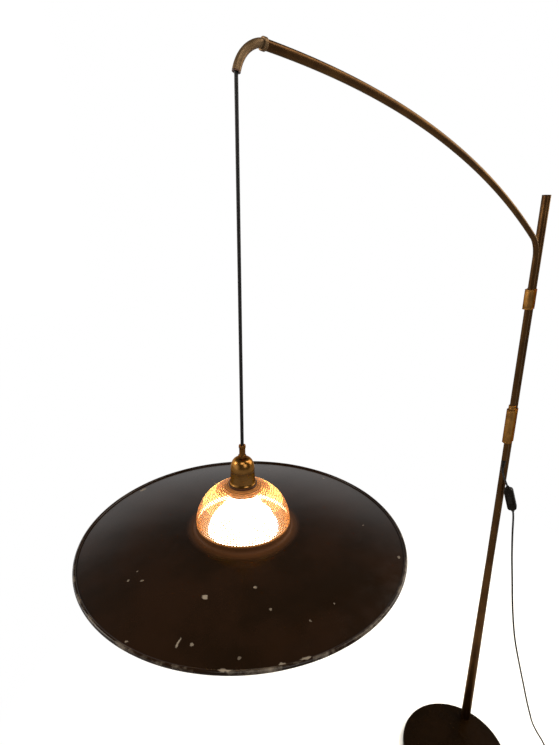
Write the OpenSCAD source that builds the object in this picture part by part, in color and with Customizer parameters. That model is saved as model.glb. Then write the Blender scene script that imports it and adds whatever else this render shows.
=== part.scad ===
// Adjustable floor lamp: a curved arm rides in two brass clamps on an upright pole,
// and a wide enamel shade hangs from the arm's outlet on a drop cord.
// Millimetres, +Z up, origin at the centre of the base's underside, arm along -X.

/* [Base] */
// Diameter of the cast base
base_d = 306; // [240:1:380]
// Thickness of the cast base
base_t = 23; // [16:1:40]
// Radius of the base's upper edge
base_edge_r = 4; // [1:0.5:8]
// Thickness of the felt under the base
felt_t = 2; // [1:0.5:4]
// How far the felt stays back from the base's edge
felt_inset = 4; // [2:1:20]
// Pole's place on the base, towards the back
pole_x = 124.8; // [60:0.1:126]
// Pole's place on the base, across
pole_y = 34.72; // [0:0.01:40]

/* [Pole] */
// Diameter of the straight upper pole
pole_d = 20; // [16:0.5:26]
// Diameter of the pole at its foot
pole_foot_d = 29; // [28:0.5:36]
// Wall of the pole's tube
pole_wall = 2; // [1:0.25:3]
// Length of the pole's tube
pole_len = 1624; // [1500:1:1900]
// Length of the tapered lower stretch
taper_len = 625; // [300:5:640]
// Length of the sleeve that joins the pole's two tubes
spigot_len = 40; // [20:1:80]
// Wall of that sleeve
spigot_wall = 1.5; // [1:0.25:2]
// Diameter of the cap on the pole
pole_cap_d = 20.6; // [18:0.2:30]
// Thickness of the cap on the pole
pole_cap_t = 2; // [1:0.5:6]
// Length of the cap's spigot in the tube
pole_cap_spigot = 12; // [5:1:30]
// Length of the plug in the pole's foot
foot_plug_len = 40; // [25:1:80]

/* [Base bolt] */
// Diameter of the bolt that holds the pole
bolt_d = 10; // [6:0.5:12]
// Diameter of the bolt's head
bolt_head_d = 17; // [14:0.5:20]
// Height of the bolt's head
bolt_head_h = 6; // [4:0.5:8]
// Length of thread in the foot plug
bolt_grip = 30; // [15:1:38]
// Diameter of the washer
washer_d = 24; // [22:0.5:30]
// Thickness of the washer
washer_t = 2; // [1:0.5:4]

/* [Clamps] */
// Metal left between the pole's bore and the leg's bore
clamp_web = 3; // [1.5:0.25:6]
// How far the leg stands round the pole from the arm's direction, in degrees
clamp_turn = 14; // [0:1:40]
// Wall of the sleeve on the pole
pole_sleeve_wall = 2; // [1.5:0.25:4]
// Wall of the sleeve on the leg
leg_sleeve_wall = 5.5; // [1.5:0.25:6]
// Lower end of the upper clamp
upper_clamp_z = 1383; // [1300:1:1420]
// Height of the upper clamp
upper_clamp_h = 49; // [30:1:50]
// Lower end of the lower clamp
lower_clamp_z = 1023; // [1015:1:1100]
// Height of the lower clamp
lower_clamp_h = 94; // [40:1:120]
// Height of the collar that carries the arm on the lower clamp
stop_collar_h = 12; // [6:1:20]
// Wall of that collar
stop_collar_wall = 2.4; // [1.5:0.1:2.6]

/* [Lock screws] */
// Direction of the lock screws, from the back towards the side
lock_angle = 24; // [-40:1:60]
// Diameter of the lock screw's shank
lock_d = 6; // [4:0.5:8]
// Diameter of the clamp's boss for the lock screw
lock_boss_d = 12; // [11:0.5:16]
// How far that boss stands out of the sleeve
lock_boss_len = 5; // [3:0.5:10]
// Diameter of the lock screw's knob
knob_d = 18; // [14:1:24]
// Length of the lock screw's knob
knob_len = 11; // [6:1:20]

/* [Arm] */
// Diameter of the arm's tube
arm_d = 13; // [12.5:0.5:16]
// Wall of the arm's tube
arm_wall = 1.25; // [1:0.05:1.5]
// Lower end of the arm's straight leg
leg_end_z = 971; // [940:1:1000]
// Height where the leg starts to bend
bend_z = 1505; // [1470:1:1550]
// Radius of the bend out of the leg
bend_r = 60; // [40:1:120]
// Turn of that bend
bend_a = 59.6; // [45:0.1:66]
// Radius of the arm's long sweep
sweep_r = 1760; // [1000:10:2200]
// Turn of the long sweep
sweep_a = 27; // [18:0.1:29]
// Straight tip after the sweep
tip_len = 11.5; // [9:0.5:30]
// Length of the ferrule that joins the bow to the leg
ferrule_len = 50; // [30:1:56]
// Diameter of the cap ring on the arm's end
end_ring_d = 16; // [15:0.5:24]
// Length of that ring on the arm
end_ring_len = 4; // [3:0.5:9]
// Thickness of the ring's plate past the arm's end
end_plate_t = 1.5; // [1:0.1:3]
// Length of the tapered strain relief under the leg
relief_len = 20; // [20:1:24]

/* [Outlet] */
// Diameter of the outlet's tube
outlet_d = 11; // [10.75:0.25:12]
// Wall of the outlet's tube
outlet_wall = 1; // [0.5:0.1:1]
// Radius of the tight turn at the outlet's root
outlet_root_r = 14; // [10:1:30]
// Turn of that root
outlet_root_a = 20; // [5:1:30]
// Radius of the outlet's bend
outlet_r = 48; // [30:1:60]
// How far the mouth leans from straight down
mouth_lean = 17; // [0:1:25]
// Straight length above the mouth
outlet_drop = 3.4; // [3.4:0.2:12]

/* [Drop] */
// Length of the cord between the mouth's bush and the cord grip
drop_len = 485; // [150:1:700]
// Diameter of the cord
cord_d = 5; // [4:0.25:5.25]

/* [Lampholder] */
// Height of the cord grip
grip_h = 16.5; // [12:0.5:30]
// Diameter of the cord grip
grip_d = 10.5; // [10:0.25:16]
// Diameter of the grip's thread through the cap
grip_thread_d = 9; // [8:0.25:12]
// Height of the bell-shaped cap
cap_h = 46.5; // [40:0.5:70]
// Diameter of the cap at its mouth
cap_d = 39; // [38:0.5:50]
// Wall of the cap
cap_wall = 1.2; // [0.8:0.1:1.3]
// Diameter of the holder's dark flange
flange_d = 43; // [40:0.5:47]
// Thickness of that flange
flange_t = 3.5; // [2:0.5:8]
// Outer diameter of the holder's skirt
skirt_d = 36; // [34:0.5:36]
// Inner diameter of the holder's skirt
skirt_bore_d = 28.8; // [28.6:0.1:30]
// Length of the skirt below the dome's seat
skirt_len = 12; // [11:0.5:16]
// Length of the skirt inside the cap
skirt_up = 22; // [18:0.5:24]
// Diameter of the ring that clamps the dome
ring_d = 56; // [50:0.5:60]
// Height of the ring that clamps the dome
ring_h = 8.7; // [5:0.1:10]

/* [Dome] */
// Diameter of the perforated dome
dome_d = 144; // [130:1:160]
// Height of the dome above the shade's lip
dome_rise = 60; // [40:1:90]
// Sheet thickness of the dome
dome_wall = 0.8; // [0.5:0.1:1.5]
// Diameter of the dome's flat seat
dome_seat_d = 48; // [48:0.5:56]
// Width of the flange that carries the shade
dome_flange_w = 8; // [4:0.5:14]

/* [Shade] */
// Diameter of the enamel shade
shade_d = 500; // [380:1:620]
// Height of the shade's lip above its rim
shade_h = 31.5; // [24:0.5:80]
// Height of the upturned neck
neck_h = 9; // [7:0.5:16]
// Radius of the fillet under the neck
neck_fillet = 5; // [3:0.5:6]
// How much the cone swells outwards
shade_swell = 3; // [0:0.5:8]
// Sheet thickness of the shade
shade_wall = 1; // [0.6:0.1:2]
// Diameter of the rolled rim
bead_d = 6; // [4:0.5:10]

/* [Bulb] */
// Diameter of the globe
bulb_d = 110; // [80:1:120]
// Distance from the dome's seat down to the globe's centre
bulb_drop = 85.5; // [80:0.5:100]
// Diameter of the globe's neck
bulb_neck_d = 32; // [28:1:36]
// Wall of the glass
glass_wall = 1.2; // [0.8:0.1:2]
// Diameter of the bulb's screw cap
screw_d = 26; // [25:0.1:26.2]
// Height of the bulb's screw cap
screw_h = 24; // [18:0.5:26]

/* [Coil] */
// Radius of the innermost turn
coil_in_r = 20; // [20:0.5:40]
// Distance from turn to turn and from layer to layer
coil_step = 5.6; // [5.5:0.1:8]
// Turn from the coil's start to the plug, in degrees
coil_turn = 2335; // [895:360:2695]
// Width of the tie round the coil
tie_w = 12; // [6:1:20]
// Thickness of the tie
tie_t = 0.8; // [0.5:0.1:1]

/* [Switch] */
// Width of the switch on the cord
switch_w = 24; // [22:0.5:30]
// Length of the switch
switch_len = 63; // [56:0.5:66]
// Thickness of the switch
switch_t = 20; // [19:0.5:26]
// Wall of the switch's shells
switch_wall = 2; // [1.5:0.1:2.5]
// Lean of the switch towards the cord's fall
switch_lean = 18; // [10:1:24]
// Half of the rocker's travel
rocker_a = 8; // [4:0.5:9]
// Length of the rocker
rocker_len = 22; // [16:0.5:24]
// Width of the rocker
rocker_w = 12.4; // [8:0.2:13]

/* [Plug] */
// Straight cord between the coil and the plug
plug_run = 11; // [11:1:40]
// Width of the plug
plug_w = 36; // [32:0.5:42]
// Length of the plug's body
plug_len = 35; // [28:0.5:45]
// Length of the plug's tapered sleeve
plug_sleeve_len = 25; // [20:0.5:40]
// Diameter of a pin
pin_d = 4; // [4:0.1:4.8]
// Length of a pin
pin_len = 19; // [15:0.5:20]
// Distance between the pins
pin_gap = 18.6; // [17:0.1:20]

/* [Fits] */
// Radial clearance of a running fit
run_fit = 0.05; // [0.02:0.01:0.1]
// Gap round a soft or loose piece
loose_fit = 0.3; // [0.2:0.05:0.4]

/* [Hidden] */
$fn = 64;

black = "#17120e";
bronze = "#3b2a1c";
brass = "#9c7634";
old_brass = "#7d5c2a";
dark_plastic = "#1b1a19";
enamel = "#241a14";
steel = "#8a8a88";

// Heights of the base and pole
base_top = felt_t + base_t;
pole_top = base_top + pole_len;
taper_top = base_top + taper_len;
bolt_seat_h = bolt_head_h + washer_t + 1;

// Clamps and leg
leg_off = pole_d/2 + clamp_web + arm_d/2;
leg_x = pole_x - leg_off*cos(clamp_turn);
leg_y = pole_y - leg_off*sin(clamp_turn);
pole_sleeve_r = pole_d/2 + run_fit + pole_sleeve_wall;
leg_sleeve_r = arm_d/2 + run_fit + leg_sleeve_wall;
lock_out = pole_sleeve_r + lock_boss_len;

// The arm's path is drawn in its own plane: [distance from the leg, height],
// and a heading is the angle from straight up.
function go(p, heading, l) = p + l*[sin(heading), cos(heading)];
function turn(p, heading, r, a) =
    p + r*[cos(heading) - cos(heading + a), sin(heading + a) - sin(heading)];
leg_p = [0, bend_z];
bend_p = turn(leg_p, 0, bend_r, bend_a);
end_heading = bend_a + sweep_a;
end_p = go(turn(bend_p, bend_a, sweep_r, sweep_a), end_heading, tip_len);
outlet_p = go(end_p, end_heading, end_plate_t);
root_p = turn(outlet_p, end_heading, outlet_root_r, outlet_root_a);
root_heading = end_heading + outlet_root_a;
mouth_heading = 180 - mouth_lean;
hook_p = turn(root_p, root_heading, outlet_r, mouth_heading - root_heading);
mouth_p = go(hook_p, mouth_heading, outlet_drop);
joint_z = bend_z - ferrule_len/2 - 5;
pipe_sides = 24;
function arc(p, heading, r, a, n) = [for (i = [0:n]) turn(p, heading, r, a*i/n)];
bow_route = concat(arc(leg_p, 0, bend_r, bend_a, 16),
    arc(bend_p, bend_a, sweep_r, sweep_a, 32), [end_p]);
outlet_route = concat([end_p], arc(outlet_p, end_heading, outlet_root_r, outlet_root_a, 4),
    arc(root_p, root_heading, outlet_r, mouth_heading - root_heading, 12));
// A point of the plane in space, and a route without doubled points
function in_space(p) = [leg_x - p[0], leg_y, p[1]];
function spaced(route) = [for (i = [0:len(route) - 1])
    if (i == 0 || norm(route[i] - route[i - 1]) > 0.01) in_space(route[i])];
bush_lip = 1.5;
bush_len = 3;
flange_leg = 2;
cord_top_z = leg_end_z - flange_leg - relief_len/2;

// Pendant: the cord turns in the lip of the mouth's bush, and heights count down from there
swing_p = go(mouth_p, mouth_heading, 0.8*bush_lip);
drop_x = leg_x - swing_p[0];
swing_z = swing_p[1];
grip_top = swing_z - drop_len;
tilt_z = grip_top - 1;
cap_top = grip_top - grip_h;
cap_z = cap_top - cap_h;
seat_z = cap_z - flange_t;
lip_z = seat_z - dome_rise;
rim_z = lip_z - shade_h;
dome_r = dome_d/2;
neck_r = dome_r + loose_fit;
flare = 1;
cord_bore = cord_d/2 + loose_fit;
nut_h = 4;

// Dome: a quarter ellipse that meets the flat seat at its edge
dome_tall = dome_rise/sqrt(1 - pow(dome_seat_d/dome_d, 2));
function dome_arc(a, b, top, n) = [for (i = [0:n]) let (h = top*i/n) [a*sqrt(1 - pow(h/b, 2)), h]];

// Shade: radius and height of the cone's two ends, counted from the rim's plane
cone_r0 = neck_r + shade_wall + neck_fillet;
cone_z0 = shade_h - neck_h;
cone_r1 = shade_d/2 - bead_d/2;
function cone_z(r) = let (t = (r - cone_r0)/(cone_r1 - cone_r0))
    cone_z0*(1 - t) + shade_swell*sin(180*t);
function back(list) = [for (i = [len(list) - 1:-1:0]) list[i]];

// Bulb and holder
bulb_z = seat_z - bulb_drop;
glass_top = seat_z - skirt_len - 1.5;
shell_r = screw_d/2 + loose_fit;
block_z = glass_top + screw_h + 6;
block_h = 8;

// Switch on the cord
switch_c = [105, -3, 867];
fall_heading = -66.4;
switch_corner = 8;
pivot_y = -switch_t/2 + 4.5;
pivot_r = 1.5;
post_r = 3;
head_r = 2;
post_x = switch_w/2 - switch_wall - post_r - 0.4;
post_z = 20;
screw_r = 1.3;

// Cord routes: a short lead from the leg to the switch, then the fall to the floor
lead_route = [
    [105.9, 30, 958], [105.9, 30, 947], [105.6, 28.9, 936.1], [104.3, 24.3, 925.6], [102.2, 17.4, 915.9],
    [100.6, 11.3, 907.1], [101.1, 5.9, 896.7], [102.6, 2.5, 885.6]
];
fall_route = [
    [107.4, -8.5, 848.4], [108.9, -11.9, 837], [111, -14.8, 822.9], [112.4, -17, 802.8],
    [114.7, -19.9, 762.4], [118.3, -23.7, 717], [122.3, -27.6, 674.5], [129.6, -35.7, 600.9],
    [135.2, -42.5, 539.5], [141.1, -50.7, 478.1], [148.1, -60.5, 417], [154.8, -69.9, 371],
    [164.6, -83.3, 313], [175.8, -99, 248], [186.1, -114.1, 186], [194.4, -126.5, 140],
    [201.7, -137.2, 104], [212.6, -152.1, 70], [221.6, -164.1, 47], [228, -173.5, 27.5],
    [232.5, -182.5, 14], [235.2, -192.5, 6.3], [235.7, -205, 3.7]
];

// Coil: one tube that spirals in on the floor, climbs a layer where it turns back, and spirals out
coil_c = [197.2, -206.7];
coil_start = -5;
coil_rings = 24;
coil_z = tie_t + 0.4 + cord_d/2;
coil_half = coil_turn/2;
coil_out_r = coil_in_r + coil_step*coil_half/360;
function ease(t) = let (u = max(0, min(1, t))) u*u*(3 - 2*u);
function coil_point(a) = let (
        r = coil_in_r + coil_step*abs(a - coil_half)/360,
        z = coil_z + coil_step*ease((a - coil_half + 90)/180))
    [coil_c[0] + r*cos(coil_start - a), coil_c[1] + r*sin(coil_start - a), z];
coil_steps = round(coil_turn/360*coil_rings);
coil_curve = [for (i = [0:coil_steps]) coil_point(coil_turn*i/coil_steps)];
function heading_at(a) = [sin(coil_start - a), -cos(coil_start - a), 0];
coil_path = concat(
    [coil_curve[0] - cord_d*heading_at(0)],
    coil_curve,
    [coil_curve[coil_steps] + plug_run*heading_at(coil_turn)]);
// Turns nearer along the cord than a quarter turn aren't neighbours
coil_gap = min([for (i = [0:coil_steps - coil_rings/4])
    min([for (j = [i + coil_rings/4:coil_steps]) norm(coil_curve[i] - coil_curve[j])])]) - cord_d;
echo(coil_gap = coil_gap);

// Plug at the coil's end
plug_p = coil_path[len(coil_path) - 1];
plug_a = coil_start - coil_turn + 180;
plug_t = 2*(plug_p[2] - 0.2);

// A cord's tube: rings carried along the path without twist
function unit(v) = v/norm(v);
function tangents(p) =
    [for (i = [0:len(p) - 1]) unit(p[min(i + 1, len(p) - 1)] - p[max(i - 1, 0)])];
function square_to(n, t) = unit(n - (n*t)*t);
function normals(t) = [for (i = 0, n = square_to([0.3, 1, 0.2], t[0]); i < len(t);
    i = i + 1, n = i < len(t) ? square_to(n, t[i]) : n) n];
function smooth(p, n) = concat([for (i = [0:len(p) - 2], k = [0:n - 1]) let (
        a = p[max(i - 1, 0)], b = p[i], c = p[i + 1], d = p[min(i + 2, len(p) - 1)], t = k/n)
    (2*b + (c - a)*t + (2*a - 5*b + 4*c - d)*t*t + (3*b - a - 3*c + d)*t*t*t)/2],
    [p[len(p) - 1]]);

module tube_along(path, d, sides) {
    t = tangents(path);
    n = normals(t);
    rings = len(path);
    points = [for (i = [0:rings - 1], k = [0:sides - 1]) let (a = 360*k/sides)
        path[i] + d/2*(cos(a)*n[i] + sin(a)*cross(t[i], n[i]))];
    walls = [for (i = [0:rings - 2], k = [0:sides - 1]) let (
            a = i*sides + k, b = i*sides + (k + 1)%sides)
        each [[a, a + sides, b + sides], [a, b + sides, b]]];
    last = (rings - 1)*sides;
    ends = [for (k = [1:sides - 2]) each [[0, k, k + 1], [last, last + k + 1, last + k]]];
    polyhedron(points, concat(walls, ends), convexity = 10);
}

module pipe_along(path, d, wall, sides) {
    t = tangents(path);
    n = normals(t);
    rings = len(path);
    points = [for (r = [d/2, d/2 - wall], i = [0:rings - 1], k = [0:sides - 1]) let (a = 360*k/sides)
        path[i] + r*(cos(a)*n[i] + sin(a)*cross(t[i], n[i]))];
    m = rings*sides;
    last = m - sides;
    walls = [for (i = [0:rings - 2], k = [0:sides - 1]) let (
            a = i*sides + k, b = i*sides + (k + 1)%sides)
        each [[a, a + sides, b + sides], [a, b + sides, b],
            [m + a, m + b + sides, m + a + sides], [m + a, m + b, m + b + sides]]];
    ends = [for (k = [0:sides - 1]) let (j = (k + 1)%sides)
        each [[k, j, m + j], [k, m + j, m + k],
            [last + k, m + last + j, last + j], [last + k, m + last + k, m + last + j]]];
    polyhedron(points, concat(walls, ends), convexity = 10);
}

module at_pole(z = 0) { translate([pole_x, pole_y, z]) children(); }
module at_leg(z = 0) { translate([leg_x, leg_y, z]) children(); }
module at_drop(z = 0) { translate([drop_x, leg_y, z]) children(); }
module at_mouth() { translate(in_space(mouth_p)) rotate([0, mouth_lean, 0]) children(); }
module at_end() { translate(in_space(end_p)) rotate([0, -end_heading, 0]) children(); }
module tube(d, bore, h) { difference() { cylinder(d = d, h = h); through(bore, h); } }
module through(d, h) { translate([0, 0, -1]) cylinder(d = d, h = h + 2); }
module lathe(outline) { rotate_extrude($fn = 128) polygon(outline); }

// Base and pole
module base_disc() {
    r = base_d/2;
    color(black) difference() {
        translate([0, 0, felt_t]) rotate_extrude($fn = 128) union() {
            square([r - base_edge_r, base_t]);
            square([r, base_t - base_edge_r]);
            translate([r - base_edge_r, base_t - base_edge_r]) circle(base_edge_r);
        }
        at_pole(felt_t - 1) cylinder(d = washer_d + 2*loose_fit, h = bolt_seat_h + 1);
        at_pole(felt_t) cylinder(d = bolt_d + 2*loose_fit, h = base_t + 1);
    }
}
module felt_pad() { color("#2a2724") cylinder(d = base_d - 2*felt_inset, h = felt_t, $fn = 128); }
module pole_taper() {
    w = pole_wall;
    color(bronze) at_pole(base_top) lathe([
        [pole_foot_d/2, 0], [pole_d/2, taper_len], [pole_d/2 - w, taper_len], [pole_foot_d/2 - w, 0]
    ]);
}
// Straight tube, with a sleeve brazed inside its end that sits in the tapered tube
module pole() {
    l = pole_len - taper_len;
    bore = pole_d/2 - pole_wall;
    sleeve = bore - spigot_wall;
    color(bronze) at_pole(taper_top) lathe([
        [pole_d/2, 0], [pole_d/2, l], [bore, l], [bore, spigot_len/4], [sleeve, spigot_len/4],
        [sleeve, -spigot_len], [bore - run_fit, -spigot_len], [bore - run_fit, 0]
    ]);
}
module pole_cap() {
    color(bronze) at_pole(pole_top) union() {
        cylinder(d = pole_cap_d, h = pole_cap_t);
        translate([0, 0, -pole_cap_spigot])
            cylinder(d = pole_d - 2*pole_wall - 2*run_fit, h = pole_cap_spigot + pole_cap_t/2);
    }
}
module foot_plug() {
    narrow = (pole_foot_d - pole_d)*foot_plug_len/taper_len;
    plug_d = pole_foot_d - 2*pole_wall - narrow - 2*run_fit;
    color(steel) at_pole(base_top) tube(plug_d, bolt_d + 2*run_fit, foot_plug_len);
}
module base_bolt() {
    head_z = felt_t + bolt_seat_h - washer_t - bolt_head_h;
    color(steel) at_pole(head_z) union() {
        cylinder(d = bolt_head_d, h = bolt_head_h, $fn = 6);
        cylinder(d = bolt_d, h = base_top - head_z + bolt_grip);
    }
}
module base_washer() {
    color(steel) at_pole(felt_t + bolt_seat_h - washer_t) tube(washer_d, bolt_d + 2*run_fit, washer_t);
}

// Clamps that slide on the pole and hold the arm's leg
module clamp(z, h) {
    color(brass) difference() {
        union() {
            at_pole(z) cylinder(r = pole_sleeve_r, h = h);
            at_leg(z) cylinder(r = leg_sleeve_r, h = h);
            at_pole(z + h/2) rotate([0, 0, lock_angle]) rotate([0, 90, 0])
                cylinder(d = lock_boss_d, h = lock_out);
        }
        at_pole(z) through(pole_d + 2*run_fit, h);
        at_leg(z) through(arm_d + 2*run_fit, h);
        at_pole(z + h/2) rotate([0, 0, lock_angle]) rotate([0, 90, 0])
            cylinder(d = lock_d + 2*run_fit, h = lock_out + 1);
    }
}
module lock_screw(z) {
    start = pole_d/2 + loose_fit;
    color(old_brass) at_pole(z) rotate([0, 0, lock_angle]) rotate([0, 90, 0]) union() {
        translate([0, 0, start]) cylinder(d = lock_d, h = lock_out + knob_len - start);
        translate([0, 0, lock_out + loose_fit]) cylinder(d = knob_d, h = knob_len);
    }
}
module upper_clamp() { clamp(upper_clamp_z, upper_clamp_h); }
module lower_clamp() { clamp(lower_clamp_z, lower_clamp_h); }
module upper_lock_screw() { lock_screw(upper_clamp_z + upper_clamp_h/2); }
module lower_lock_screw() { lock_screw(lower_clamp_z + lower_clamp_h/2); }

// Arm: a straight leg that turns in the clamps, and a bow on a ferrule above it
module arm_leg() { color(bronze) at_leg(leg_end_z) tube(arm_d, arm_d - 2*arm_wall, joint_z - leg_end_z); }
module arm_ferrule() {
    outside = (arm_d - 2*arm_wall)*cos(180/pipe_sides) - 2*run_fit;
    color(steel) at_leg(joint_z - ferrule_len/2) tube(outside, 2*cord_bore, ferrule_len);
}
module arm_bow() {
    color(bronze) pipe_along(spaced(concat([[0, joint_z]], bow_route)), arm_d, arm_wall, pipe_sides);
}
module stop_collar() {
    color(brass) at_leg(lower_clamp_z + lower_clamp_h + loose_fit)
        tube(arm_d + 2*stop_collar_wall, arm_d + 2*run_fit, stop_collar_h);
}
// Cap ring: a sleeve on the arm's end and a plate round the outlet's root
module end_ring() {
    sleeve = arm_d/2 + run_fit;
    plate = outlet_d/2 + run_fit;
    color(old_brass) at_end() lathe([
        [sleeve, -end_ring_len], [end_ring_d/2, -end_ring_len], [end_ring_d/2, end_plate_t],
        [plate, end_plate_t], [plate, 0], [sleeve, 0]
    ]);
}
module outlet_bend() {
    color(old_brass) pipe_along(spaced(concat(outlet_route, [mouth_p])), outlet_d, outlet_wall, pipe_sides);
}
module outlet_bush() {
    inside = (outlet_d/2 - outlet_wall)*cos(180/pipe_sides) - run_fit;
    color(dark_plastic) at_mouth() lathe([
        [cord_bore + flare, -bush_lip], [outlet_d/2, -bush_lip], [outlet_d/2, 0], [inside, 0],
        [inside, bush_len], [cord_bore, bush_len], [cord_bore, 0]
    ]);
}
module leg_end_bush() {
    inside = arm_d/2 - arm_wall - run_fit;
    top = cord_bore + 1.1;
    color(dark_plastic) at_leg(leg_end_z) lathe([
        [cord_bore, -flange_leg - relief_len], [top, -flange_leg - relief_len],
        [arm_d/2 - 1, -flange_leg], [arm_d/2, -flange_leg], [arm_d/2, 0], [inside, 0],
        [inside, 12], [cord_bore, 12]
    ]);
}
module inner_cord() {
    ends = [[0, cord_top_z + loose_fit], go(swing_p, mouth_heading, -cord_d/2 - loose_fit)];
    color(black) tube_along(spaced(concat([ends[0]], bow_route, outlet_route, [ends[1]])), cord_d, 8);
}

// Pendant: the drop cord turns in the bush above and in the grip below
module drop_cord() {
    color(black) at_drop() union() {
        translate([0, 0, tilt_z]) cylinder(d = cord_d, h = swing_z - tilt_z);
        translate([0, 0, tilt_z]) sphere(d = cord_d);
        translate([0, 0, swing_z]) sphere(d = cord_d);
    }
}
module cord_grip() {
    r = grip_d/2;
    neck = grip_thread_d/2 + 0.2;
    depth = cap_wall + nut_h + 2;
    color(old_brass) at_drop(cap_top) difference() {
        union() {
            cylinder(r = neck, h = grip_h - 1);
            translate([0, 0, -depth]) cylinder(d = grip_thread_d, h = depth + 1);
            cylinder(r = r, h = 3);
            translate([0, 0, grip_h - 5]) cylinder(r = r, h = 5);
        }
        translate([0, 0, -depth]) through(2*cord_bore, grip_h + depth);
        translate([0, 0, grip_h - 2]) cylinder(r1 = cord_bore, r2 = cord_bore + 1.2*flare, h = 2.1);
        translate([0, 0, grip_h/2]) rotate([0, 90, lock_angle]) cylinder(r = screw_r + run_fit, h = r + 1);
    }
}
module grip_screw() {
    color(steel) at_drop(cap_top + grip_h/2) rotate([0, 90, lock_angle]) union() {
        translate([0, 0, cord_bore - loose_fit/2]) cylinder(r = screw_r, h = grip_d/2 + 0.5 - cord_bore);
        translate([0, 0, grip_d/2 + 0.2]) cylinder(r = screw_r + 0.7, h = 1.2);
    }
}
module grip_nut() {
    color(steel) at_drop(cap_top - cap_wall - loose_fit - nut_h) difference() {
        cylinder(d = grip_thread_d + 4.5, h = nut_h, $fn = 6);
        through(grip_thread_d + 2*run_fit, nut_h);
    }
}
module holder_lead() {
    from_z = block_z + block_h + loose_fit;
    color(black) at_drop(from_z) cylinder(d = cord_d, h = tilt_z - cord_d/2 - loose_fit - from_z);
}
module socket_cap() {
    shoulder = 0.56*cap_h;
    hole = grip_thread_d/2 + run_fit;
    function side(w) = [for (i = [0:12]) let (a = 90*i/12)
        [hole + 1.5 - w + (cap_d/2 - hole - 1.5)*cos(a), shoulder + (cap_h - shoulder - w)*sin(a)]];
    outer = concat([[cap_d/2 + 0.6, 0], [cap_d/2 + 0.6, 1.6], [cap_d/2, 2.2]], side(0));
    inner = concat([[cap_d/2 - cap_wall, 0]], side(cap_wall));
    color(old_brass) at_drop(cap_z)
        lathe(concat(outer, [[hole, cap_h], [hole, cap_h - cap_wall]], back(inner)));
}
module holder_body() {
    top = flange_t + skirt_up;
    color(dark_plastic) at_drop(seat_z) lathe([
        [skirt_bore_d/2, -skirt_len], [skirt_d/2, -skirt_len], [skirt_d/2, 0], [flange_d/2, 0],
        [flange_d/2, flange_t], [skirt_d/2, flange_t], [skirt_d/2, top], [skirt_bore_d/2, top]
    ]);
}
module contact_block() {
    color("#d8d2c4") at_drop(block_z) cylinder(d = skirt_bore_d - 2*run_fit, h = block_h);
}
module screw_shell() {
    h = block_z - glass_top - 0.5;
    color(brass) at_drop(block_z - h) tube(skirt_bore_d - 2*run_fit, 2*shell_r, h);
}
module centre_contact() {
    color(brass) at_drop(glass_top + screw_h + 3 + loose_fit)
        cylinder(r = 5, h = block_z - glass_top - screw_h - 3 - loose_fit);
}
module shade_ring() {
    r = ring_d/2;
    bore = skirt_d/2 + run_fit;
    color(old_brass) at_drop(seat_z - dome_wall) lathe([
        [bore, -ring_h], [r, -ring_h], [r, -2.4], [dome_seat_d/2 - 1, 0], [bore, 0]
    ]);
}

// Perforated dome as a plain sheet, carried by the holder and carrying the shade on its flange
module dome() {
    low = -neck_h - neck_fillet/2 - shade_wall;
    seat_r = skirt_d/2 + run_fit;
    outer = dome_arc(dome_r, dome_tall, dome_rise, 20);
    inner = dome_arc(dome_r - dome_wall, dome_tall - dome_wall, dome_rise - dome_wall, 20);
    color("#b07a2e") at_drop(lip_z) lathe(concat(
        [[dome_r + dome_flange_w, low - dome_wall], [dome_r + dome_flange_w, low], [dome_r, low]],
        outer, [[seat_r, dome_rise], [seat_r, dome_rise - dome_wall]],
        back(inner), [[dome_r - dome_wall, low - dome_wall]]));
}
module shade() {
    steps = 16;
    w = shade_wall;
    fillet = [for (i = [0:8]) let (a = 90*i/8)
        [cone_r0 - neck_fillet*cos(a), cone_z0 + neck_fillet*(1 - sin(a))]];
    under = [for (i = [0:8]) let (a = 90*i/8)
        [cone_r0 - (neck_fillet + w)*cos(a), cone_z0 + neck_fillet - (neck_fillet + w)*sin(a)]];
    radii = [for (i = [1:steps]) cone_r0 + (cone_r1 - cone_r0)*i/steps];
    cone = [for (r = radii) [r, cone_z(r)]];
    below = [for (r = radii) [r, cone_z(r) - w]];
    color(enamel) at_drop(rim_z) union() {
        lathe(concat([[neck_r, shade_h], [neck_r + w, shade_h]], fillet, cone, back(below), back(under)));
        rotate_extrude($fn = 128) translate([cone_r1, 0]) circle(d = bead_d);
    }
}

// Bulb: a hollow globe whose shoulder runs up into its neck
module bulb_glass() {
    top = glass_top - bulb_z;
    join = 40;
    function outline(r, neck) = concat(
        [for (i = [0:28]) let (a = -90 + (90 + join)*i/28) r*[cos(a), sin(a)]],
        [for (i = [1:8]) let (t = i/8) [
            r*cos(join) + (neck - r*cos(join))*sin(90*t),
            r*sin(join) + (top - r*sin(join))*(t + 0.35*sin(180*t)*t)]]);
    outer = outline(bulb_d/2, bulb_neck_d/2);
    inner = outline(bulb_d/2 - glass_wall, bulb_neck_d/2 - glass_wall);
    color("#fdf6e8") at_drop(bulb_z) lathe(concat(outer, back(inner)));
}
module bulb_cap() {
    color("#b9b4a6") at_drop(glass_top) union() {
        cylinder(d = screw_d, h = screw_h);
        cylinder(r = 5, h = screw_h + 3);
    }
}

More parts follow.
